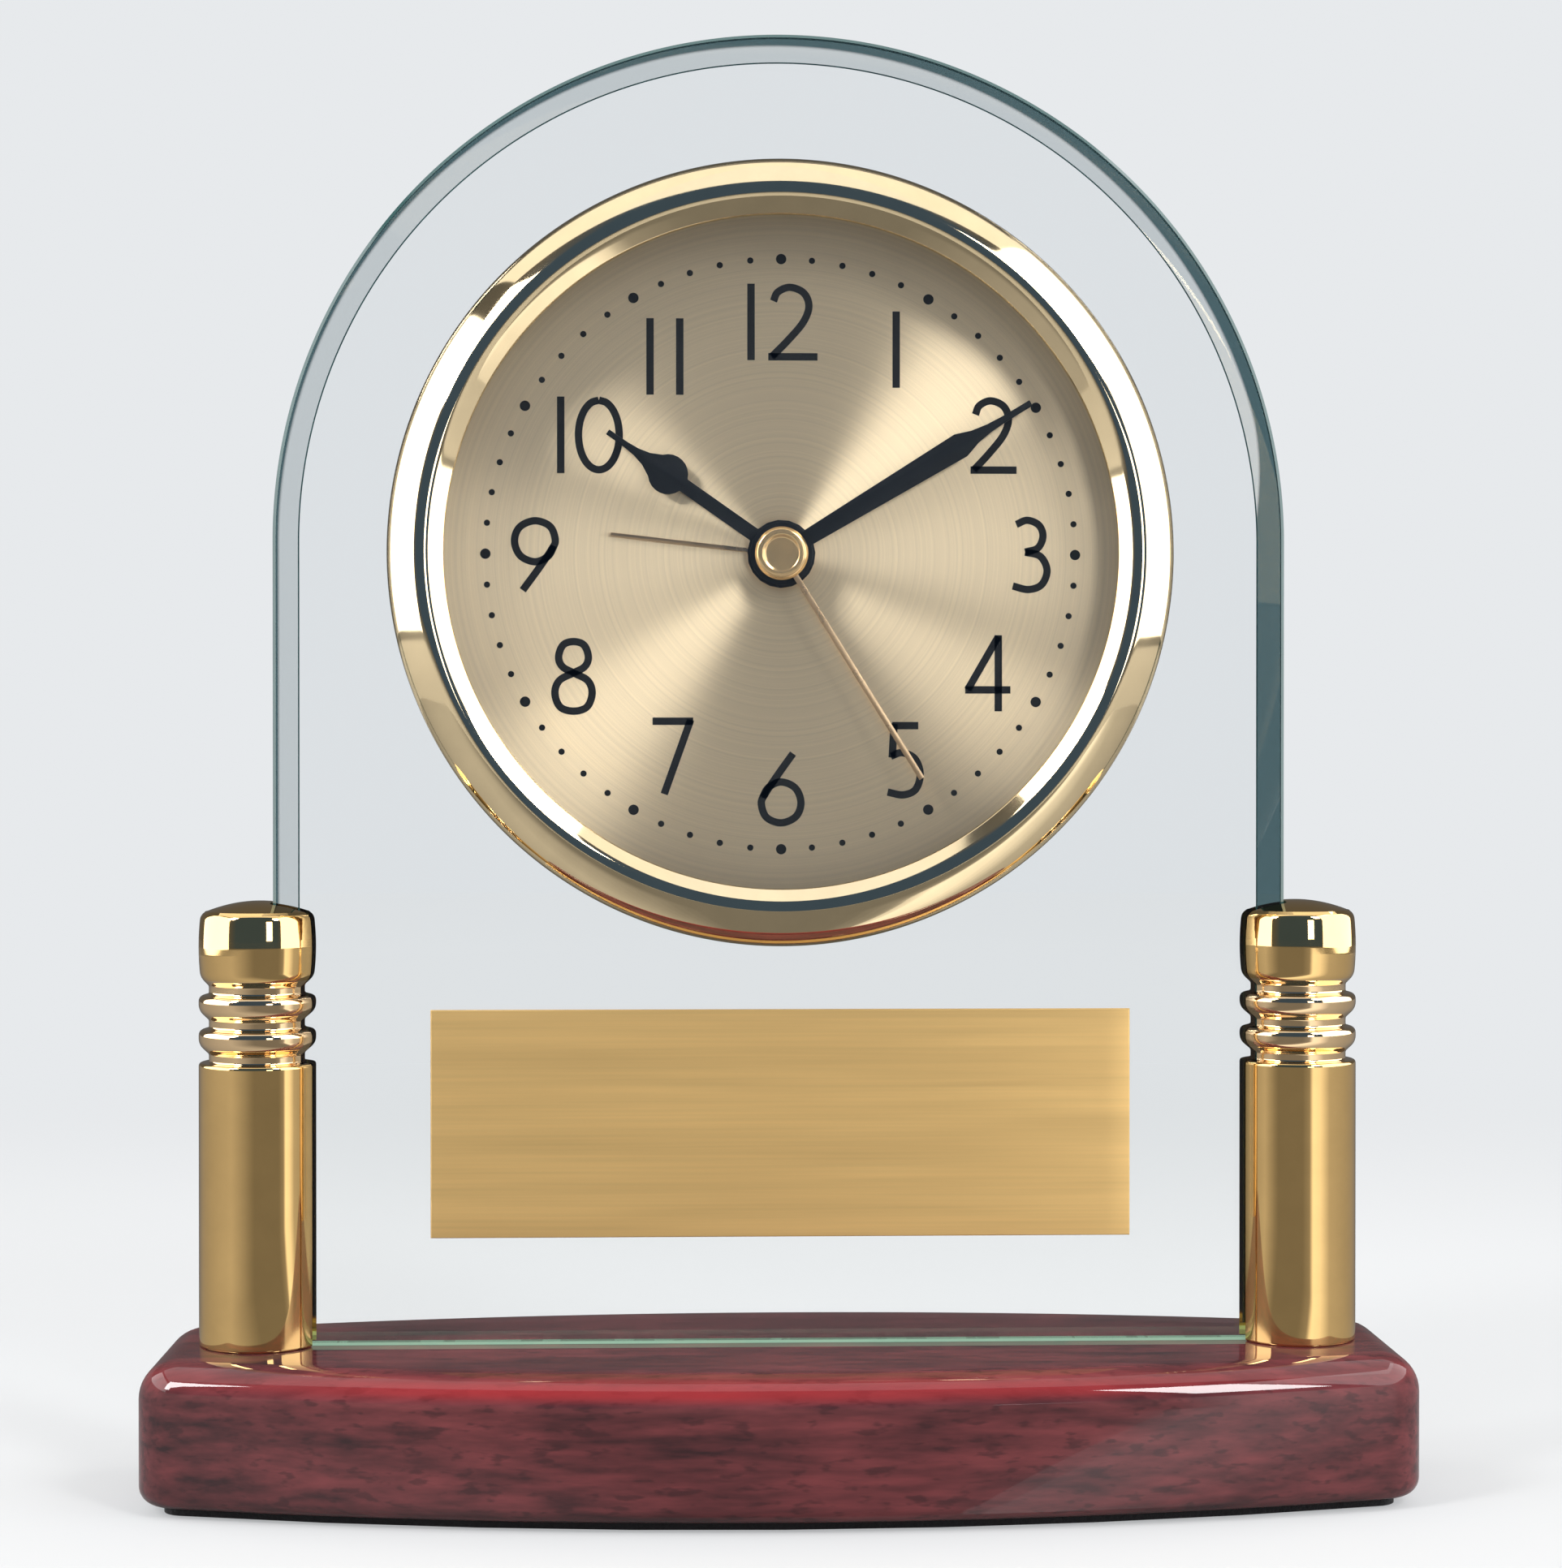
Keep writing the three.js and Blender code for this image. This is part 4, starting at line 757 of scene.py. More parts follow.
def softened(corners: Any, cuts: Any, steps: int = 6) -> np.ndarray:
    """Rounds the corners of a line.

    A corner p with unit arms a and b becomes the curve
    (1 - s)^2 (p + c a) + 2 s (1 - s) p + s^2 (p + c b), where c is how far it is cut back. One more
    point on each arm keeps the shading of the straight part straight.

    Args:
        corners: The (count, 2) corner points; the line is closed where the end corners are cut too.
        cuts: How far each corner is cut back along both arms.
        steps: Points on each curve.

    Returns:
        The points of the rounded line.
    """
    points = np.asarray(corners, dtype=float)
    arms = np.stack([np.roll(points, 1, axis=0), np.roll(points, -1, axis=0)]) - points
    arms /= np.linalg.norm(arms, axis=-1, keepdims=True)
    start, end = points + np.asarray(cuts, dtype=float)[:, None] * arms
    s = np.linspace(0.0, 1.0, steps)[:, None, None]
    line = (1 - s) ** 2 * start + 2 * s * (1 - s) * points + s**2 * end
    beyond = 0.15
    before, after = start + beyond * (start - points), end + beyond * (end - points)
    line = np.concatenate([before[None], line, after[None]]).transpose(1, 0, 2).reshape(-1, 2)
    moved = np.linalg.norm(np.diff(line, axis=0), axis=1) > 1e-6
    return line[np.append(True, moved)]


def turned(profile: np.ndarray, centre: Pair, count: int, closed: bool = False) -> Patch:
    """Turns a profile about a line along Y.

    Args:
        profile: Rows of (radius, y).
        centre: The line's x and z.
        count: Steps round the line.
        closed: True if the profile's end joins its start.

    Returns:
        The surface (cx + r cos a, y, cz + r sin a).
    """
    angle = np.linspace(0.0, 2 * math.pi, count, endpoint=False)
    radius, depth = profile[:, :1], profile[:, 1:]
    x = centre[0] + radius * np.cos(angle)
    z = centre[1] + radius * np.sin(angle)
    return Patch(np.stack([x, depth + 0 * angle, z], axis=-1), closed, True)


def rippled(
    profile: np.ndarray, factor: np.ndarray, centre: Pair, closed: bool = False
) -> Patch:
    """Turns a profile about a line along Y and scales its radius at each angle.

    Args:
        profile: Rows of (radius, y).
        factor: Scale f of the radius at each (row, angle).
        centre: The line's x and z.
        closed: True if the profile's end joins its start.

    Returns:
        The surface (cx + f r cos a, y, cz + f r sin a).
    """
    points = turned(profile, (0.0, 0.0), factor.shape[1], closed).points
    points = points * np.stack([factor, np.ones_like(factor), factor], axis=-1)
    return Patch(points + np.array([centre[0], 0.0, centre[1]]), closed, True)


def slab(x: np.ndarray, z: np.ndarray, front: np.ndarray, back: np.ndarray) -> Patch:
    """A closed plate between two height fields.

    Each row goes along the front at one z and comes back along the rear; the first and last rows
    fold the front onto the rear, which closes the ends.

    Args:
        x: Places across, rising.
        z: Places up, rising.
        front: y of the front at (z, x).
        back: y of the rear at (z, x).

    Returns:
        The closed surface.
    """
    across = np.concatenate([x, x[::-1]])
    depth = np.concatenate([front, back[:, ::-1]], axis=1)
    folded = np.concatenate([back, back[:, ::-1]], axis=1)
    depth = np.concatenate([folded[:1], depth, folded[-1:]])
    height = np.concatenate([z[:1], z, z[-1:]])
    wide, tall = np.meshgrid(across, height)
    return Patch(np.stack([wide, depth, tall], axis=-1), False, True)


def edge_drop(distance: np.ndarray, radius: float) -> np.ndarray:
    """How far a face rounded with a radius lies below its flat, at a distance from its edge."""
    short = np.clip(radius - distance, 0.0, radius)
    return radius - np.sqrt(radius**2 - short**2)


def ribbon(path: np.ndarray, width: float, front: float, back: float) -> Patch:
    """A flat stroke along a path in the dial's plane.

    The cross-section is the rectangle path +- width/2 * normal by front to back; the end rows
    shrink to one point, which closes the ends.

    Args:
        path: Points (x, z) along the stroke.
        width: Width of the stroke.
        front: y of its front face.
        back: y of its back face.

    Returns:
        The closed surface.
    """
    along = np.gradient(path, axis=0)
    along /= np.linalg.norm(along, axis=1, keepdims=True)
    side = 0.5 * width * np.stack([-along[:, 1], along[:, 0]], axis=1)
    sign, depth = np.array([1.0, 1.0, -1.0, -1.0]), np.array([front, back, back, front])
    flat = path[:, None, :] + sign[None, :, None] * side[:, None, :]
    points = np.stack([flat[..., 0], np.broadcast_to(depth, flat.shape[:2]), flat[..., 1]], axis=-1)
    first = np.broadcast_to(points[:1].mean(axis=1, keepdims=True), (1, 4, 3))
    last = np.broadcast_to(points[-1:].mean(axis=1, keepdims=True), (1, 4, 3))
    return Patch(np.concatenate([first, points, last]), False, True)


def smooth_line(points: Any, steps: int = 10) -> np.ndarray:
    """Draws a smooth curve through points.

    Between p1 and p2, with p0 before and p3 after them, the curve is half of
    2 p1 + (p2 - p0) s + (2 p0 - 5 p1 + 4 p2 - p3) s^2 + (3 p1 - p0 - 3 p2 + p3) s^3.

    Args:
        points: The points (count, 2) to pass through.
        steps: Steps from one point to the next.

    Returns:
        The points of the curve.
    """
    line = np.asarray(points, dtype=float)
    line = np.concatenate([2 * line[:1] - line[1:2], line, 2 * line[-1:] - line[-2:-1]])
    p0, p1, p2, p3 = line[:-3], line[1:-2], line[2:-1], line[3:]
    s = np.linspace(0.0, 1.0, steps, endpoint=False)[:, None, None]
    bend = (2 * p0 - 5 * p1 + 4 * p2 - p3) * s**2 + (3 * p1 - p0 - 3 * p2 + p3) * s**3
    curve = 0.5 * (2 * p1 + (p2 - p0) * s + bend)
    return np.concatenate([curve.transpose(1, 0, 2).reshape(-1, 2), p2[-1:]])


@dataclass(frozen=True)
class SoftBox:
    """A soft box: where it hangs, seen from the object, its size in metres and how bright it is.

    The bearing is counted from the camera's side, to the right; the rise is above the horizon from a
    point `foot` above the floor.
    """

    name: str
    bearing: float
    rise: float
    foot: float
    distance: float
    width: float
    height: float
    brightness: float


BOXES = [
    SoftBox("left_box", -88.0, 0.0, 0.335, 0.62, 0.80, 0.64, 2.4),
    SoftBox("right_box", 83.0, 0.0, 0.475, 0.62, 0.95, 0.92, 2.2),
    SoftBox("top_box", 180.0, 84.0, 0.1, 1.0, 1.8, 1.1, 0.9),
    SoftBox("left_lamp", -56.0, 35.0, 0.1, 0.8, 0.15, 0.3, 17.5),
    SoftBox("right_lamp", 38.5, 34.0, 0.1, 0.8, 0.14, 0.3, 17.0),
    SoftBox("right_strip", 22.5, 5.0, 0.1, 0.8, 0.16, 0.2, 3.6),
]
BACKDROP = (0.80, 0.82, 0.84)
FLOOR = Ground("floor", 0.33, 0.46, BACKDROP)
FRONT_DARK, REAR_DARK = (0.05, 0.09, 0.17), (0.12, 0.12, 0.12)
TENT = Glow("tent", (
    (0.0, FRONT_DARK), (0.11, FRONT_DARK), (0.16, REAR_DARK), (0.84, REAR_DARK), (0.89, FRONT_DARK)
))


@dataclass
class Stage:
    """Floor, light and camera.

    The low wall's levels are its (turn in degrees from the front to the right, brightness).
    """

    camera_place: Colour = (-0.0112, -0.343, 0.0835)
    camera_turn: Colour = (89.61, 0.0, -1.88)
    lens: float = 68.26
    boxes: list[SoftBox] = field(default_factory=lambda: list(BOXES))
    watts: float = 4.0
    ambient: float = 0.28
    floor_radius: float = 5.0
    wall_radius: float = 0.15
    wall_foot: float = 0.002
    wall_height: float = 0.053
    wall_levels: tuple[Pair, ...] = (
        (0.0, 0.22), (26.0, 0.22), (38.0, 0.34), (44.0, 1.35), (54.0, 1.20), (68.0, 0.56),
        (80.0, 0.50), (110.0, 0.36), (140.0, 0.11), (220.0, 0.11), (250.0, 0.36), (280.0, 0.50),
        (298.0, 0.56), (314.0, 0.40), (326.0, 0.28), (334.0, 0.22),
    )

    def build_floor(self) -> None:
        """Lays the floor as a disc (r cos a, r sin a, 0)."""
        angle = np.linspace(0.0, 2 * math.pi, 64, endpoint=False)
        radius = np.array([0.0, 0.3, 1.0, self.floor_radius])[:, None]
        x, y = radius * np.cos(angle), radius * np.sin(angle)
        points = np.stack([x, y, 0 * x], axis=-1)
        make_piece("floor", [Patch(points / MM, False, True)], FLOOR)

    def build_card(self, name: str, radius: list[float], height: list[float], glow: Glow) -> None:
        """Makes a card round the object that shows only in reflections: (R sin a, -R cos a, h).

        Args:
            name: Name of the card.
            radius: R of each row, in metres.
            height: h of each row, in metres.
            glow: Its colours from the front round to the front again.
        """
        angle = np.linspace(0.0, 2 * math.pi, 97)
        reach, level = np.array(radius)[:, None], np.array(height)[:, None]
        points = np.stack([reach * np.sin(angle), -reach * np.cos(angle), level + 0 * angle], axis=-1)
        card = make_piece(name, [Patch(points / MM)], glow)
        card.visible_camera = card.visible_diffuse = card.visible_shadow = False
        card.visible_volume_scatter = False

    def build_cards(self) -> None:
        """Stands a dim tent and a low wall with a floor round the object."""
        self.build_card("tent", [1.6, 1.6, 1.2, 0.0], [0.0, 1.4, 1.9, 2.0], TENT)
        stops = tuple((turn / 360, (level, level, level)) for turn, level in self.wall_levels)
        wall = Glow("low_wall", stops)
        reach, level = [0.0, *2 * [self.wall_radius]], [*2 * [self.wall_foot], self.wall_height]
        self.build_card("low_wall", reach, level, wall)

    def build_lights(self) -> None:
        """Hangs the soft boxes, each aimed at the object from a bearing and a height."""
        for box in self.boxes:
            light = bpy.data.lights.new(box.name, "AREA")
            light.shape, light.size, light.size_y = "RECTANGLE", box.width, box.height
            light.energy = self.watts * box.width * box.height * box.brightness
            lamp = bpy.data.objects.new(box.name, light)
            turn, rise = math.radians(box.bearing), math.radians(box.rise)
            reach, lift = box.distance * math.cos(rise), box.distance * math.sin(rise)
            lamp.location = (reach * math.sin(turn), -reach * math.cos(turn), box.foot + lift)
            lamp.rotation_euler = (math.radians(90.0) - rise, 0.0, turn)
            lamp.visible_camera = lamp.visible_transmission = False
            bpy.context.collection.objects.link(lamp)

    def build_world(self) -> None:
        """Fills the world with even light, and shows it as white where it is seen."""
        world = bpy.data.worlds.new("studio")
        world.use_nodes = True
        tree = world.node_tree
        tree.nodes.clear()
        ray = tree.nodes.new("ShaderNodeLightPath")
        output = tree.nodes.new("ShaderNodeOutputWorld")
        seen = ray.outputs["Is Camera Ray"]
        for name in ("Is Glossy Ray", "Is Transmission Ray"):
            either = tree.nodes.new("ShaderNodeMath")
            either.operation = "MAXIMUM"
            tree.links.new(seen, either.inputs[0])
            tree.links.new(ray.outputs[name], either.inputs[1])
            seen = either.outputs[0]
        strength = tree.nodes.new("ShaderNodeMapRange")
        strength.inputs["To Min"].default_value = self.ambient
        strength.inputs["To Max"].default_value = 1.0
        tree.links.new(seen, strength.inputs["Value"])
        sky = tree.nodes.new("ShaderNodeBackground")
        sky.inputs["Color"].default_value = (*BACKDROP, 1.0)
        tree.links.new(strength.outputs["Result"], sky.inputs["Strength"])
        tree.links.new(sky.outputs[0], output.inputs["Surface"])
        bpy.context.scene.world = world

    def build_camera(self) -> None:
        """Places the camera that was fitted to the photograph."""
        lens = bpy.data.cameras.new("camera")
        lens.lens = self.lens
        lens.clip_start = 0.01
        camera = bpy.data.objects.new("camera", lens)
        camera.location = self.camera_place
        camera.rotation_euler = [math.radians(part) for part in self.camera_turn]
        bpy.context.collection.objects.link(camera)
        bpy.context.scene.camera = camera

    def build(self) -> None:
        """Sets up floor, lights, world and camera."""
        self.build_floor()
        self.build_cards()
        self.build_lights()
        self.build_world()
        self.build_camera()
        bpy.context.scene.view_settings.view_transform = "Standard"
        LOG.info("set the stage")


@dataclass
class Base:
    """The bow-fronted lacquered slab and its felt."""

    width: float = 144.0
    depth: float = 45.0
    bottom: float = 1.0
    top: float = 17.0
    bow: float = 9.4
    corner: float = 5.5
    top_round: float = 4.3
    bottom_round: float = 2.0

    def outline(self) -> tuple[np.ndarray, np.ndarray]:
        """Works out the slab's plan: two bowed arcs, joined to its straight ends by small arcs.

        Returns:
            Points and outward unit normals, both (count, 2).
        """
        radius = (self.bow**2 + (self.width / 2) ** 2) / (2 * self.bow)
        centre = radius - self.depth / 2
        x = self.width / 2 - self.corner
        y = centre - math.sqrt((radius - self.corner) ** 2 - x**2)
        turn = math.atan2(centre - y, x)
        arcs = [
            (0.0, centre, radius, turn - math.pi, -turn, 97),
            (x, y, self.corner, -turn, 0.0, 17),
            (x, -y, self.corner, 0.0, turn, 17),
            (0.0, -centre, radius, turn, math.pi - turn, 97),
            (-x, -y, self.corner, math.pi - turn, math.pi, 17),
            (-x, y, self.corner, math.pi, math.pi + turn, 17),
        ]
        angles = [np.linspace(start, end, count)[:-1] for _, _, _, start, end, count in arcs]
        normals = [np.stack([np.cos(angle), np.sin(angle)], axis=1) for angle in angles]
        points = [np.array([cx, cy]) + r * normal for (cx, cy, r, *_), normal in zip(arcs, normals)]
        return np.concatenate(points), np.concatenate(normals)

    def build(self) -> None:
        """Builds the slab as k (P(t) - i n(t)) at height h.

        P and n are the outline and its normal; the inset i and height h follow the rounded edges
        and k shrinks the flat top and underside to one point.
        """
        points, normals = self.outline()
        turn = np.linspace(0.0, math.pi / 2, 12)
        shrink = np.linspace(0.0, 1.0, 9)[:-1]
        under, over = self.bottom_round, self.top_round
        inset = [under + 0 * shrink, under * (1 - np.sin(turn)), over * (1 - np.cos(turn)), over + 0 * shrink]
        lower, upper = self.bottom + under * (1 - np.cos(turn)), self.top + over * (np.sin(turn) - 1)
        height = np.concatenate([self.bottom + 0 * shrink, lower, upper, self.top + 0 * shrink])
        scale = np.concatenate([shrink, np.ones(2 * len(turn)), shrink[::-1]])
        inset = np.concatenate(inset)
        plan = scale[:, None, None] * (points - inset[:, None, None] * normals)
        tall = np.broadcast_to(height[:, None, None], (*plan.shape[:2], 1))
        surface = Patch(np.concatenate([plan, tall], axis=-1), False, True)
        fit_piece(make_piece("lacquer_base", [surface], LACQUER), "stand", "lacquer", "base")

    def dress(self, frame: dict[str, Any]) -> None:
        """Finishes the felt and the hidden screws and washers.
        """
        dress(frame, FELT, "base_felt")
        sides = [side.name.lower() for side in Side]
        dress(frame, STEEL, *(f"{side}_pillar_{what}" for what in ("screw", "washer") for side in sides))


@dataclass
class Pillar:
    """A turned gold pillar with two collars and a domed cap, slotted for the glass."""

    side: Side
    set_out: float = 59.8
    foot: float = 17.0
    radius: float = 6.9
    neck: float = 5.75
    shaft: float = 32.3
    collar: float = 3.9
    groove_top: float = 9.6
    cap: float = 7.0
    barrel: float = 0.2
    dome: float = 6.3
    dome_rise: float = 1.3
    slot_floor: float = 1.5
    slot_half: float = 2.8

    def profile(self) -> np.ndarray:
        """Works out the turned outline from the foot to the middle of the dome.

        Returns:
            Rows of (radius, height above the foot).
        """
        wide, thin, top = self.radius, self.neck, self.shaft
        corners = [(0.0, 0.0), (wide, 0.0), (wide, top)]
        cuts = [0.0, 0.25, 0.4]
        for start in (top, top + self.collar):
            corners += [(thin, start + 0.1), (thin, start + 1.0), (wide, start + 2.1), (wide, start + 3.7)]
            cuts += [0.2, 0.2, 0.7, 0.6]
        cap = top + 2 * self.collar
        along = np.linspace(0.0, 1.0, 9)
        barrel = [(wide - self.barrel * (2 * u - 1) ** 2, cap + 2.0 + self.cap * u) for u in along]
        corners += [(thin, cap + 0.1), (thin, cap + 1.0), *barrel, (self.dome, cap + 9.35)]
        cuts += [0.2, 0.2, 0.6, *7 * [0.1], 0.45, 0.2]
        dome = np.linspace(self.dome - 0.1, 0.0, 14)
        dome = np.stack([dome, cap + 9.4 + self.dome_rise * (1 - (dome / self.dome) ** 2)], axis=1)
        return np.concatenate([softened(corners + [tuple(dome[0])], cuts + [0.0]), dome[1:]])

    def build(self) -> None:
        """Builds the pillar as its round outline at each height, with a slot cut in.

        At radius R the outline is the arc R (cos a, sin a) from g to 2 pi - g, then the slot's wall,
        floor and other wall. The slot is h either side of the middle and its floor is at f = min(slot
        floor, R), with h = min(slot half-width, sqrt(R^2 - f^2)) and g = asin(h / R).
        """
        profile = self.profile()
        radius, height = profile[:, :1], self.foot + profile[:, 1:]
        floor = np.minimum(self.slot_floor, radius)
        half = np.minimum(self.slot_half, np.sqrt(np.maximum(radius**2 - floor**2, 0.0)))
        start = np.arcsin(half / np.maximum(radius, 1e-9))
        angle = start + (2 * math.pi - 2 * start) * np.linspace(0.0, 1.0, 121)
        wall = np.linspace(0.0, 1.0, 4)[1:]
        mouth = np.sqrt(radius**2 - half**2)
        inward = mouth + (floor - mouth) * wall
        across = half * np.linspace(-1.0, 1.0, 5)[1:]
        outward = (floor + (mouth - floor) * wall)[:, :-1]
        x = np.concatenate([radius * np.cos(angle), inward, floor + 0 * across, outward], axis=1)
        y = np.concatenate([radius * np.sin(angle), -half + 0 * wall, across, half + 0 * outward], axis=1)
        place = self.side.value * (self.set_out - x)
        points = np.stack([place, y, np.broadcast_to(height, x.shape)], axis=-1)
        name = self.side.name.lower()
        piece = make_piece(f"turned_{name}_pillar", [Patch(points, False, True)], GOLD, 40.0)
        middles = np.empty(3 * len(piece.data.polygons))
        piece.data.polygons.foreach_get("center", middles)
        above = middles[2::3] / MM - self.foot - self.shaft
        # the collar zone gets the paler, rosier gold of painted shade tint
        piece.data.materials.append(material_of(COLLAR_SHADE_GOLD))
        piece.data.polygons.foreach_set("material_index", (above > 0.0) & (above < self.groove_top))
        fit_piece(piece, "stand", "gold", f"{name}_pillar")


@dataclass
class GlassPlate:
    """The arched plate of glass, bevelled behind, with the hole for the clock."""

    half: float = 58.0
    foot: float = 17.0
    spring: float = 109.0
    front: float = -2.5
    back: float = 2.5
    hole: float = 41.294
    bevel: float = 2.5
    bevel_depth: float = 1.1
    arris: float = 0.4
    line: float = 0.16

    def reach(self, angle: np.ndarray, inset: float, lift: float = 0.0) -> np.ndarray:
        """How far a ray from the clock's centre goes before it is near the plate's edge.

        The arch of radius q = half - inset stands e above the centre, so r = e sin a +
        sqrt(q^2 - e^2 cos^2 a) there; below its spring r = min(q / |cos a|, drop / -sin a).

        Args:
            angle: Directions of the rays.
            inset: Distance from the sides and the arch.
            lift: Distance from the foot.

        Returns:
            The length of each ray.
        """
        rise, limit = self.spring - CLOCK_HEIGHT, self.half - inset
        arch = rise * np.sin(angle) + np.sqrt(limit**2 - (rise * np.cos(angle)) ** 2)
        straight = limit / np.maximum(np.abs(np.cos(angle)), 1e-9)
        down = (CLOCK_HEIGHT - self.foot - lift) / np.maximum(-np.sin(angle), 1e-9)
        return np.where(arch * np.sin(angle) >= rise, arch, np.minimum(straight, down))

    def build(self) -> None:
        """Builds the plate as rings of rays from the clock's centre.

        The rings are the hole's front edge, the front edge with a small arris, the outer and inner
        edge of the bevel behind, a ground line beside it, and the hole's rear edge. The bevel's depth
        falls off as 1 - d / width, where d is the distance from the side, so it runs out at the foot.
        """
        drop = self.foot - CLOCK_HEIGHT
        insets = np.array([0.0, self.arris, self.bevel, self.bevel + self.line])
        sides = np.concatenate([self.half - insets, insets - self.half])
        corners = np.concatenate([np.arctan2(drop, sides), np.arctan2(drop + self.arris, sides)])
        springs = np.arctan2(self.spring - CLOCK_HEIGHT, sides)
        even = np.linspace(-math.pi, math.pi, 512, endpoint=False)
        angle = np.unique(np.round(np.concatenate([even, corners, springs]), 9))
        outer = self.reach(angle, 0.0)
        x, z = outer * np.cos(angle), outer * np.sin(angle)
        rounding = self.half - np.hypot(x, np.maximum(z - (self.spring - CLOCK_HEIGHT), 0.0))
        ground = self.back - self.bevel_depth * np.clip(1 - rounding / self.bevel, 0.0, 1.0)
        level = np.ones_like(angle)
        rings = [
            (self.hole * level, self.front * level),
            (self.reach(angle, self.arris, self.arris), self.front * level),
            (outer, (self.front + self.arris) * level),
            (outer, ground),
            (self.reach(angle, self.bevel), self.back * level),
            (self.reach(angle, self.bevel + self.line), self.back * level),
            (self.hole * level, self.back * level),
        ]
        radius = np.stack([ring[0] for ring in rings])
        depth = np.stack([ring[1] for ring in rings])
        x, z = radius * np.cos(angle), CLOCK_HEIGHT + radius * np.sin(angle)
        points = np.stack([x, depth, z], axis=-1)
        piece = make_piece("arched_glass", [Patch(points, True, True)], GLASS, 12.0)
        self.finish_edges(piece)
        fit_piece(piece, "stand", "glass", "glass_panel")

    def finish_edges(self, piece: bpy.types.Object) -> None:
        """Gives the plate's polished rim and the ground line beside its bevel an opaque dark teal of painted
        shade, its ground foot a pale green painted glow, and its bevel a painted grey and dark teal tint.

        Args:
            piece: The plate.
        """
        mesh = piece.data
        normals, middles = np.empty(3 * len(mesh.polygons)), np.empty(3 * len(mesh.polygons))
        mesh.polygons.foreach_get("normal", normals)
        mesh.polygons.foreach_get("center", middles)
        normals, middles = normals.reshape(-1, 3), middles.reshape(-1, 3) / MM
        x, z, facing = middles[:, 0], middles[:, 2], normals[:, 1]
        steep, flat, down, clear = 0.8, 0.99, -0.6, 3.0
        inside = self.half - np.hypot(x, np.maximum(z - self.spring, 0.0))
        away = np.hypot(x, z - CLOCK_HEIGHT) > self.hole + clear
        rim = away & (np.abs(facing) < steep)
        foot = rim & (normals[:, 2] < down)
        bevel = away & (facing > steep) & (facing < flat)
        line = away & (facing > flat) & (np.abs(inside - self.bevel - self.line / 2) < self.line / 4)
        # the rim and line get painted shade, the foot a painted glow, the bevel a painted tint
        for finish in (GLASS_RIM_SHADE, GLASS_FOOT_GLOW, GLASS_BEVEL):
            mesh.materials.append(material_of(finish))
        index = np.select([foot, rim | line, bevel], [2, 1, 3], 0)
        mesh.polygons.foreach_set("material_index", index)


@dataclass
class EngravingPlate:
    """The bare brushed plate on the glass, with its tape."""

    width: float = 80.0
    height: float = 26.0
    middle: float = 42.4
    front: float = -3.4
    back: float = -2.8
    edge: float = 0.14

    def build(self) -> None:
        """Builds the plate as two height fields, the front one rounded off along its edges."""
        steps = np.concatenate([np.linspace(0.0, self.edge, 6), [3.0]])
        across = np.concatenate([steps, self.width - steps[::-1]]) - self.width / 2
        up = np.concatenate([steps, self.height - steps[::-1]]) - self.height / 2
        wide, tall = np.meshgrid(across, up)
        inside = np.minimum(self.width / 2 - np.abs(wide), self.height / 2 - np.abs(tall))
        front = self.front + edge_drop(inside, self.edge)
        back = np.full_like(front, self.back)
        piece = make_piece("brushed_plate", [slab(across, self.middle + up, front, back)], PLATE_GOLD, 30.0)
        fit_piece(piece, "stand", "engraving_plate", "name_plate")

    def dress(self, frame: dict[str, Any]) -> None:
        """Finishes the tape."""
        dress(frame, TAPE, "plate_tape")


@dataclass
class Bezel:
    """The gold ring round the crystal."""

    outer: float = 44.794
    crest: float = 40.5
    crest_fall: float = 28.0
    crest_round: float = 1.3
    opening: float = 38.2
    rear: float = -3.0
    side: float = -4.6
    top: float = -8.25
    lip: float = -6.5
    seat: float = -5.8
    seat_radius: float = 40.894
    recess: float = -4.5
    recess_radius: float = 43.294

    def build(self) -> None:
        """Turns the ring.

        Its shoulder is the curve (1 - t)^2 p + 2 t (1 - t) q + t^2 k from the side p to the knee k, and
        q is where the tangents at both ends meet. The rounded crest and the slope follow, and behind
        are the seat of the crystal and the recess for the case.
        """
        t = np.linspace(0.0, 1.0, 30)[:, None]
        fall = math.tan(math.radians(self.crest_fall))
        crest = np.array([self.crest, self.top])
        knee = crest + self.crest_round * np.array([1.0, fall])
        start = np.array([self.outer, self.side])
        bend = np.array([self.outer, knee[1] + fall * (self.outer - knee[0])])
        shoulder = (1 - t) ** 2 * start + 2 * t * (1 - t) * bend + t**2 * knee
        front = softened([knee, crest, (self.opening, self.lip), (self.opening, self.seat)],
                         [0.0, 0.95 * self.crest_round, 0.15, 0.0], 12)
        behind = np.array([
            (self.seat_radius, self.seat), (self.seat_radius, self.recess),
            (self.recess_radius, self.recess), (self.recess_radius, self.rear),
        ])
        rim = softened([behind[-1], (self.outer, self.rear), shoulder[0]], [0.0, 0.2, 0.0])
        profile = np.concatenate([shoulder, front[1:], behind, rim[1:-1]])
        ring = turned(profile, (0.0, CLOCK_HEIGHT), 288, True)
        piece = make_piece("gold_bezel", [ring], PALE_GOLD, 40.0)
        fit_piece(piece, "stand", "gold", "bezel")

    def dress(self, frame: dict[str, Any]) -> None:
        """Finishes the crystal and the gasket."""
        dress(frame, CRYSTAL, "crystal")
        dress(frame, RUBBER, "bezel_gasket")


@dataclass(frozen=True)
class Figure:
    """One digit of an hour: its left and right edge and its middle height on the dial."""

    digit: int
    left: float
    right: float
    middle: float


Stroke = list[Pair]

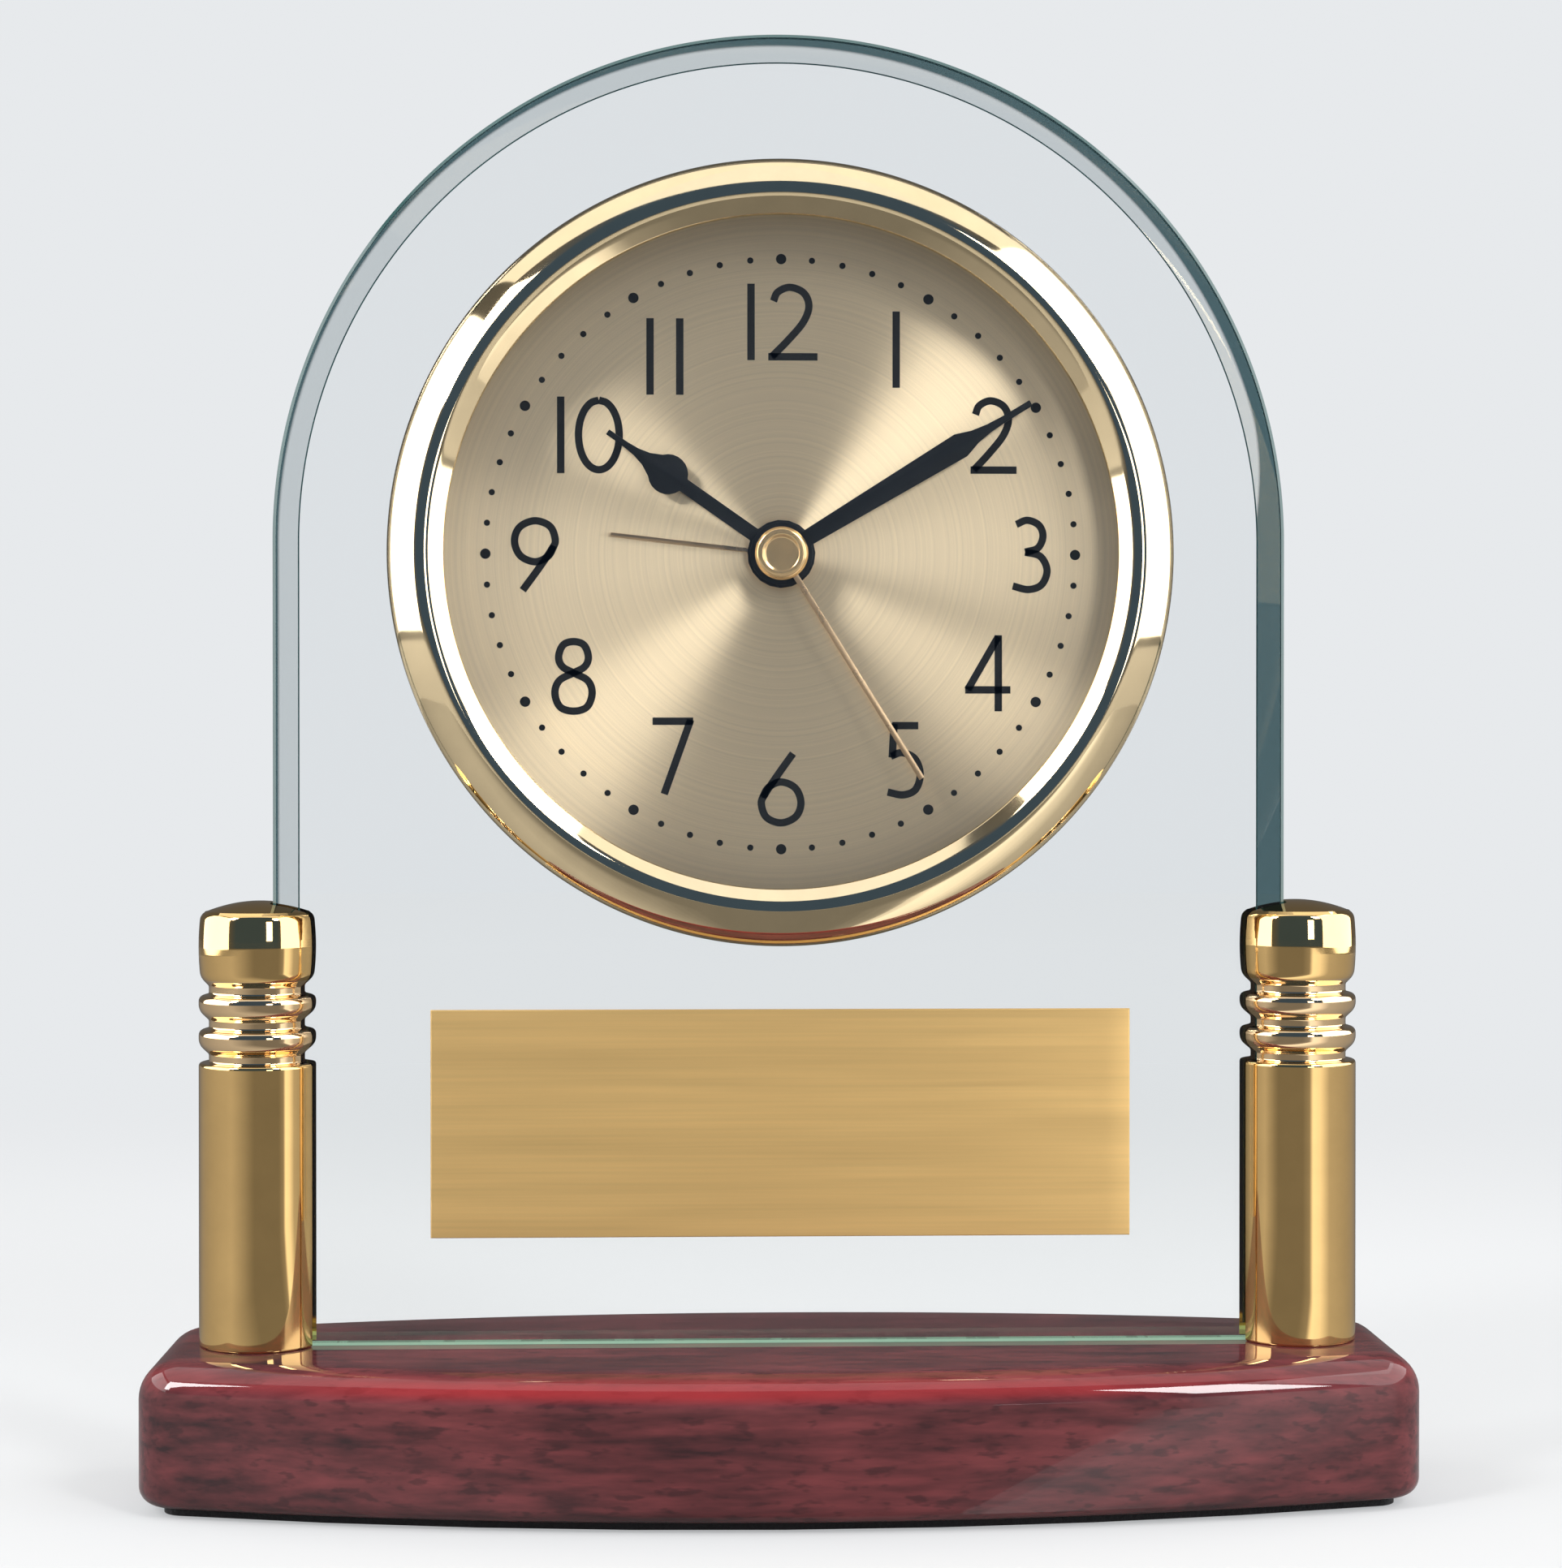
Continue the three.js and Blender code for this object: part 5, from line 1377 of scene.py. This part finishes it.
SIX: Stroke = [(0.80, 1.0), (0.40, 0.68), (0.10, 0.42), (0.0, 0.28), (0.13, 0.08), (0.5, 0.0), (0.87, 0.09),
               (1.0, 0.29), (0.86, 0.50), (0.5, 0.59), (0.18, 0.51), (0.03, 0.36)]
STROKES: dict[int, list[Stroke]] = {
    0: [[(0.5 + 0.5 * math.sin(k * math.pi / 8), 0.5 + 0.5 * math.cos(k * math.pi / 8)) for k in range(17)]],
    1: [[(0.5, 1.05), (0.5, -0.05)]],
    2: [[(0.04, 0.80), (0.14, 0.93), (0.42, 1.0), (0.74, 0.92), (0.86, 0.73), (0.73, 0.50), (0.38, 0.24),
         (0.0, 0.0)], [(-0.08, 0.0), (1.06, 0.0)]],
    3: [[(0.10, 0.94), (0.42, 1.0), (0.76, 0.93), (0.88, 0.77), (0.73, 0.60), (0.36, 0.54)],
        [(0.36, 0.54), (0.80, 0.48), (1.0, 0.28), (0.84, 0.07), (0.45, 0.0), (0.0, 0.05)]],
    4: [[(0.76, 1.03), (0.0, 0.26)], [(-0.06, 0.26), (1.06, 0.26)], [(0.76, 1.05), (0.76, -0.05)]],
    5: [[(0.94, 1.0), (0.14, 1.0)], [(0.20, 1.03), (0.14, 0.54)],
        [(0.10, 0.56), (0.45, 0.61), (0.84, 0.52), (1.0, 0.30), (0.86, 0.08), (0.48, 0.0), (0.0, 0.04)]],
    6: [SIX],
    7: [[(-0.06, 1.0), (1.06, 1.0)], [(0.99, 1.02), (0.26, -0.05)]],
    8: [[(0.5, 0.55), (0.12, 0.44), (0.0, 0.26), (0.14, 0.06), (0.5, 0.0), (0.86, 0.06), (1.0, 0.26),
         (0.88, 0.44), (0.5, 0.55)],
        [(0.5, 0.55), (0.2, 0.64), (0.1, 0.78), (0.22, 0.95), (0.5, 1.0), (0.78, 0.95), (0.9, 0.78),
         (0.8, 0.64), (0.5, 0.55)]],
    9: [[(1 - x, 1 - z) for x, z in SIX]],
}
FIGURES = [
    Figure(1, -3.9, -3.0, 26.6), Figure(2, -1.5, 4.3, 26.6),
    Figure(1, 12.7, 13.7, 23.5), Figure(2, 21.7, 27.2, 13.7), Figure(3, 26.2, 31.0, 0.0),
    Figure(4, 21.0, 26.5, -13.6), Figure(5, 11.8, 16.4, -23.6), Figure(6, -2.7, 2.7, -26.8),
    Figure(7, -14.9, -9.9, -23.1), Figure(8, -26.3, -21.2, -14.0), Figure(9, -30.9, -25.4, -0.2),
    Figure(1, -25.7, -24.7, 13.6), Figure(0, -23.6, -18.1, 13.6),
    Figure(1, -15.5, -14.5, 22.6), Figure(1, -12.1, -11.1, 22.6),
]


@dataclass
class Dial:
    """The spun gold dial with its printed figures and minute dots."""

    front: float = -0.7
    back: float = -0.3
    bore: float = 3.2
    radius: float = 39.294
    dot_ring: float = 33.8
    dot_sizes: Pair = (0.6, 0.36)
    stroke: float = 0.85
    figure_height: float = 8.8
    ink: float = 0.02
    figures: list[Figure] = field(default_factory=lambda: list(FIGURES))

    def build(self) -> None:
        """Turns the disc, whose UV follows the rings, and prints on it."""
        rings = np.linspace(self.bore, self.radius, 24)
        face = np.stack([rings, np.full(24, self.front)], axis=1)
        rear = np.array([(self.radius, self.back), (self.bore, self.back)])
        patch = turned(np.concatenate([face, rear]), (0.0, CLOCK_HEIGHT), 288, True)
        piece = make_piece("spun_dial", [patch], DIAL_GOLD)
        fit_piece(piece, "stand", "dial", "dial")
        self.print_figures()
        self.print_dots()

    def print_figures(self) -> None:
        """Lays each stroke of each digit on the dial as a thin ribbon of ink."""
        patches = []
        tall = self.figure_height - self.stroke
        for figure in self.figures:
            low = np.array([figure.left + self.stroke / 2, figure.middle - tall / 2])
            size = np.array([figure.right - figure.left - self.stroke, tall])
            for stroke in STROKES[figure.digit]:
                line = np.asarray(stroke) if len(stroke) == 2 else smooth_line(stroke)
                path = low + size * line + np.array([0.0, CLOCK_HEIGHT])
                patches.append(ribbon(path, self.stroke, self.front - self.ink, self.front))
        piece = make_piece("dial_figures", patches, INK)
        fit_piece(piece, "stand", "hand_black")

    def print_dots(self) -> None:
        """Prints sixty dots, those at the hours larger.

        Each is a disc (r cos a, r sin a) of one ring round a middle point, with a short side.
        """
        patches = []
        for minute in range(60):
            size = self.dot_sizes[minute % 5 > 0]
            angle = math.radians(6.0 * minute)
            centre = (self.dot_ring * math.sin(angle), CLOCK_HEIGHT + self.dot_ring * math.cos(angle))
            level = self.front - self.ink
            profile = np.array([(0.0, level), (size, level), (size, self.front), (0.0, self.front)])
            patches.append(turned(profile, centre, 20))
        piece = make_piece("minute_dots", patches, INK)
        fit_piece(piece, "stand", "hand_black")


@dataclass
class Hands:
    """The four hands and the cap over their hub."""

    cap_radius: float = 3.05
    cap_front: float = -3.95
    cap_back: float = -3.25

    def build(self) -> None:
        """Turns the cap: a rounded rim round a shallow dish."""
        front, back, wide = self.cap_front, self.cap_back, self.cap_radius
        corners = [
            (0.0, front + 0.22), (1.9, front + 0.16), (2.15, front), (2.75, front + 0.04),
            (wide, back - 0.25), (wide, back), (0.0, back),
        ]
        profile = softened(corners, [0.0, 0.15, 0.15, 0.25, 0.1, 0.0, 0.0])
        piece = make_piece("hub_cap", [turned(profile, (0.0, CLOCK_HEIGHT), 64)], ROSE_GOLD)
        fit_piece(piece, "second_hand", "hand_gold", "second_hand_cap")

    def dress(self, frame: dict[str, Any]) -> None:
        """Finishes the hands."""
        dress(frame, HAND_BLACK, "hour_hand", "minute_hand", edge=0.05)
        dress(frame, HAND_GOLD, "second_hand", "alarm_hand", edge=0.04)


@dataclass
class CaseBack:
    """The case behind the glass with what is worked from behind."""

    ring_inner: float = 41.294
    ring_outer: float = 44.694
    ring_front: float = 2.5
    ring_back: float = 5.5
    hollows: int = 20
    hollow_depth: float = 0.7
    knob_front: float = 15.4
    knob_back: float = 20.4
    flutes: int = 18
    flute_share: float = 0.07
    door_half: float = 23.85
    door_low: float = -27.85
    door_high: float = -14.15
    door_inner: float = 15.15
    door_outer: float = 16.3
    door_round: float = 0.4
    groove_half: float = 9.0
    groove_middle: float = -18.0
    groove_reach: float = 3.0
    groove_pitch: float = 1.2
    groove_depth: float = 0.45

    def build_ring(self) -> None:
        """Turns the retaining ring, with hollows round it to grip.

        The outer radius is R - d c^6, with c = |cos(n a / 2)| for n hollows, so each one is narrow.
        """
        profile = softened([
            (self.ring_outer, self.ring_front), (self.ring_outer, self.ring_back),
            (self.ring_inner, self.ring_back), (self.ring_inner, self.ring_front)
        ], [0.15, 0.5, 0.4, 0.15])
        angle = np.linspace(0.0, 2 * math.pi, 400, endpoint=False)
        hollow = self.hollow_depth * np.abs(np.cos(self.hollows / 2 * angle)) ** 6
        outside = np.clip((profile[:, :1] - 42.5) / 2.2, 0.0, 1.0)
        factor = 1 - hollow * outside / np.maximum(profile[:, :1], 1.0)
        ring = rippled(profile, factor, (0.0, CLOCK_HEIGHT), True)
        fit_piece(make_piece("gripped_ring", [ring], BLACK), "stand", "case_black", "retaining_ring")

    def build_knob(self, name: str, body: str, centre: Pair, radius: float) -> None:
        """Turns a fluted knob.

        The radius is R (1 - d (1 - s^2)) with s = cos(n a / 2) for n flutes; they fade out over the
        rounded rim, and the outer face is dished.

        Args:
            name: Name of the CAD node that it replaces.
            body: Body that it rides on.
            centre: x and z of its axis, measured from the clock's centre.
            radius: Outer radius.
        """
        front, back, rim = self.knob_front, self.knob_back, 1.2
        corners = [
            (0.0, front), (radius, front), (radius, back), (radius - 1.4, back), (radius - 2.0, back - 0.7),
            (0.0, back - 0.5),
        ]
        profile = softened(corners, [0.0, 0.3, 0.6, 0.3, 0.4, 0.0])
        angle = np.linspace(0.0, 2 * math.pi, 180, endpoint=False)
        outside = np.clip((profile[:, :1] - (radius - rim)) / rim, 0.0, 1.0)
        factor = 1 - self.flute_share * outside * (1 - np.cos(self.flutes / 2 * angle) ** 2)
        knob = rippled(profile, factor, (centre[0], CLOCK_HEIGHT + centre[1]))
        fit_piece(make_piece(f"fluted_{name}", [knob], BLACK, 50.0), body, "case_black", name)

    def build_door(self) -> None:
        """Builds the battery door as two height fields.

        Its outer face has five grooves for a finger, each a rounded trough d sin^2 across X.
        """
        half, low, high = self.door_half, self.door_low, self.door_high
        edge = np.linspace(0.0, self.door_round, 6)
        across = np.concatenate([edge - half, np.linspace(-half + 1, half - 1, 60), half - edge[::-1]])
        up = np.concatenate([low + edge, np.linspace(low + 0.5, high - 0.5, 120), high - edge[::-1]])
        wide, tall = np.meshgrid(across, up)
        inside = np.minimum(half - np.abs(wide), np.minimum(tall - low, high - tall))
        above = tall - self.groove_middle
        reach = np.clip((self.groove_half - np.abs(wide)) / 0.6, 0.0, 1.0)
        reach = reach * (np.abs(above) < self.groove_reach)
        wave = np.sin(math.pi * (above + self.groove_reach) / self.groove_pitch)
        face = self.door_outer - edge_drop(inside, self.door_round) - self.groove_depth * reach * wave**2
        rear = np.full_like(face, self.door_inner)
        piece = make_piece("grooved_door", [slab(across, CLOCK_HEIGHT + up, face, rear)], BLACK)
        fit_piece(piece, "battery_door", "case_black", "battery_door")

    def build(self) -> None:
        """Builds the ring, the knobs and the door."""
        self.build_ring()
        self.build_knob("time_knob", "time_setter", (-18.0, 0.0), 5.5)
        self.build_knob("alarm_knob", "alarm_setter", (8.66, -5.0), 4.8)
        self.build_door()

    def dress(self, frame: dict[str, Any]) -> None:
        """Finishes the case, its screws and the switch.
        """
        dress(frame, BLACK, "case_cup", "rear_cover")
        dress(frame, WHITE, "alarm_switch", edge=0.15)
        dress(frame, STEEL, *(f"cover_screw_{number}" for number in (1, 2, 3)), edge=0.12)


@dataclass
class Movement:
    """The quartz movement inside the case."""

    plates: tuple[str, ...] = ("front_plate", "rear_plate")
    bare_steel: tuple[str, ...] = ("stator", "positive_contact", "negative_contact")
    wheels: tuple[str, ...] = (
        "intermediate_wheel", "second_wheel", "third_wheel", "centre_wheel", "minute_wheel", "hour_wheel",
        "alarm_wheel"
    )

    def dress(self, frame: dict[str, Any]) -> None:
        """Finishes what is inside the case.
        """
        dress(frame, WHITE, *self.plates, *self.wheels, "rotor")
        dress(frame, BRASS, "time_stem", "alarm_stem")
        dress(frame, STEEL, *(f"movement_screw_{number}" for number in (1, 2, 3)), *self.bare_steel)
        dress(frame, COPPER, "coil")
        dress(frame, BOARD, "circuit_board")
        dress(frame, BLACK, "buzzer")
        dress(frame, CELL, "battery")


def main() -> None:
    """Builds and dresses the clock in order, from the stage to the movement."""
    logging.basicConfig(level=logging.INFO)
    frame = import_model()
    Stage().build()
    base, plate, bezel, hands, back = Base(), EngravingPlate(), Bezel(), Hands(), CaseBack()
    base.build()
    base.dress(frame)
    Pillar(Side.LEFT).build()
    Pillar(Side.RIGHT).build()
    GlassPlate().build()
    plate.build()
    plate.dress(frame)
    bezel.build()
    bezel.dress(frame)
    Dial().build()
    hands.build()
    hands.dress(frame)
    back.build()
    back.dress(frame)
    Movement().dress(frame)


if __name__ == "__main__":
    main()
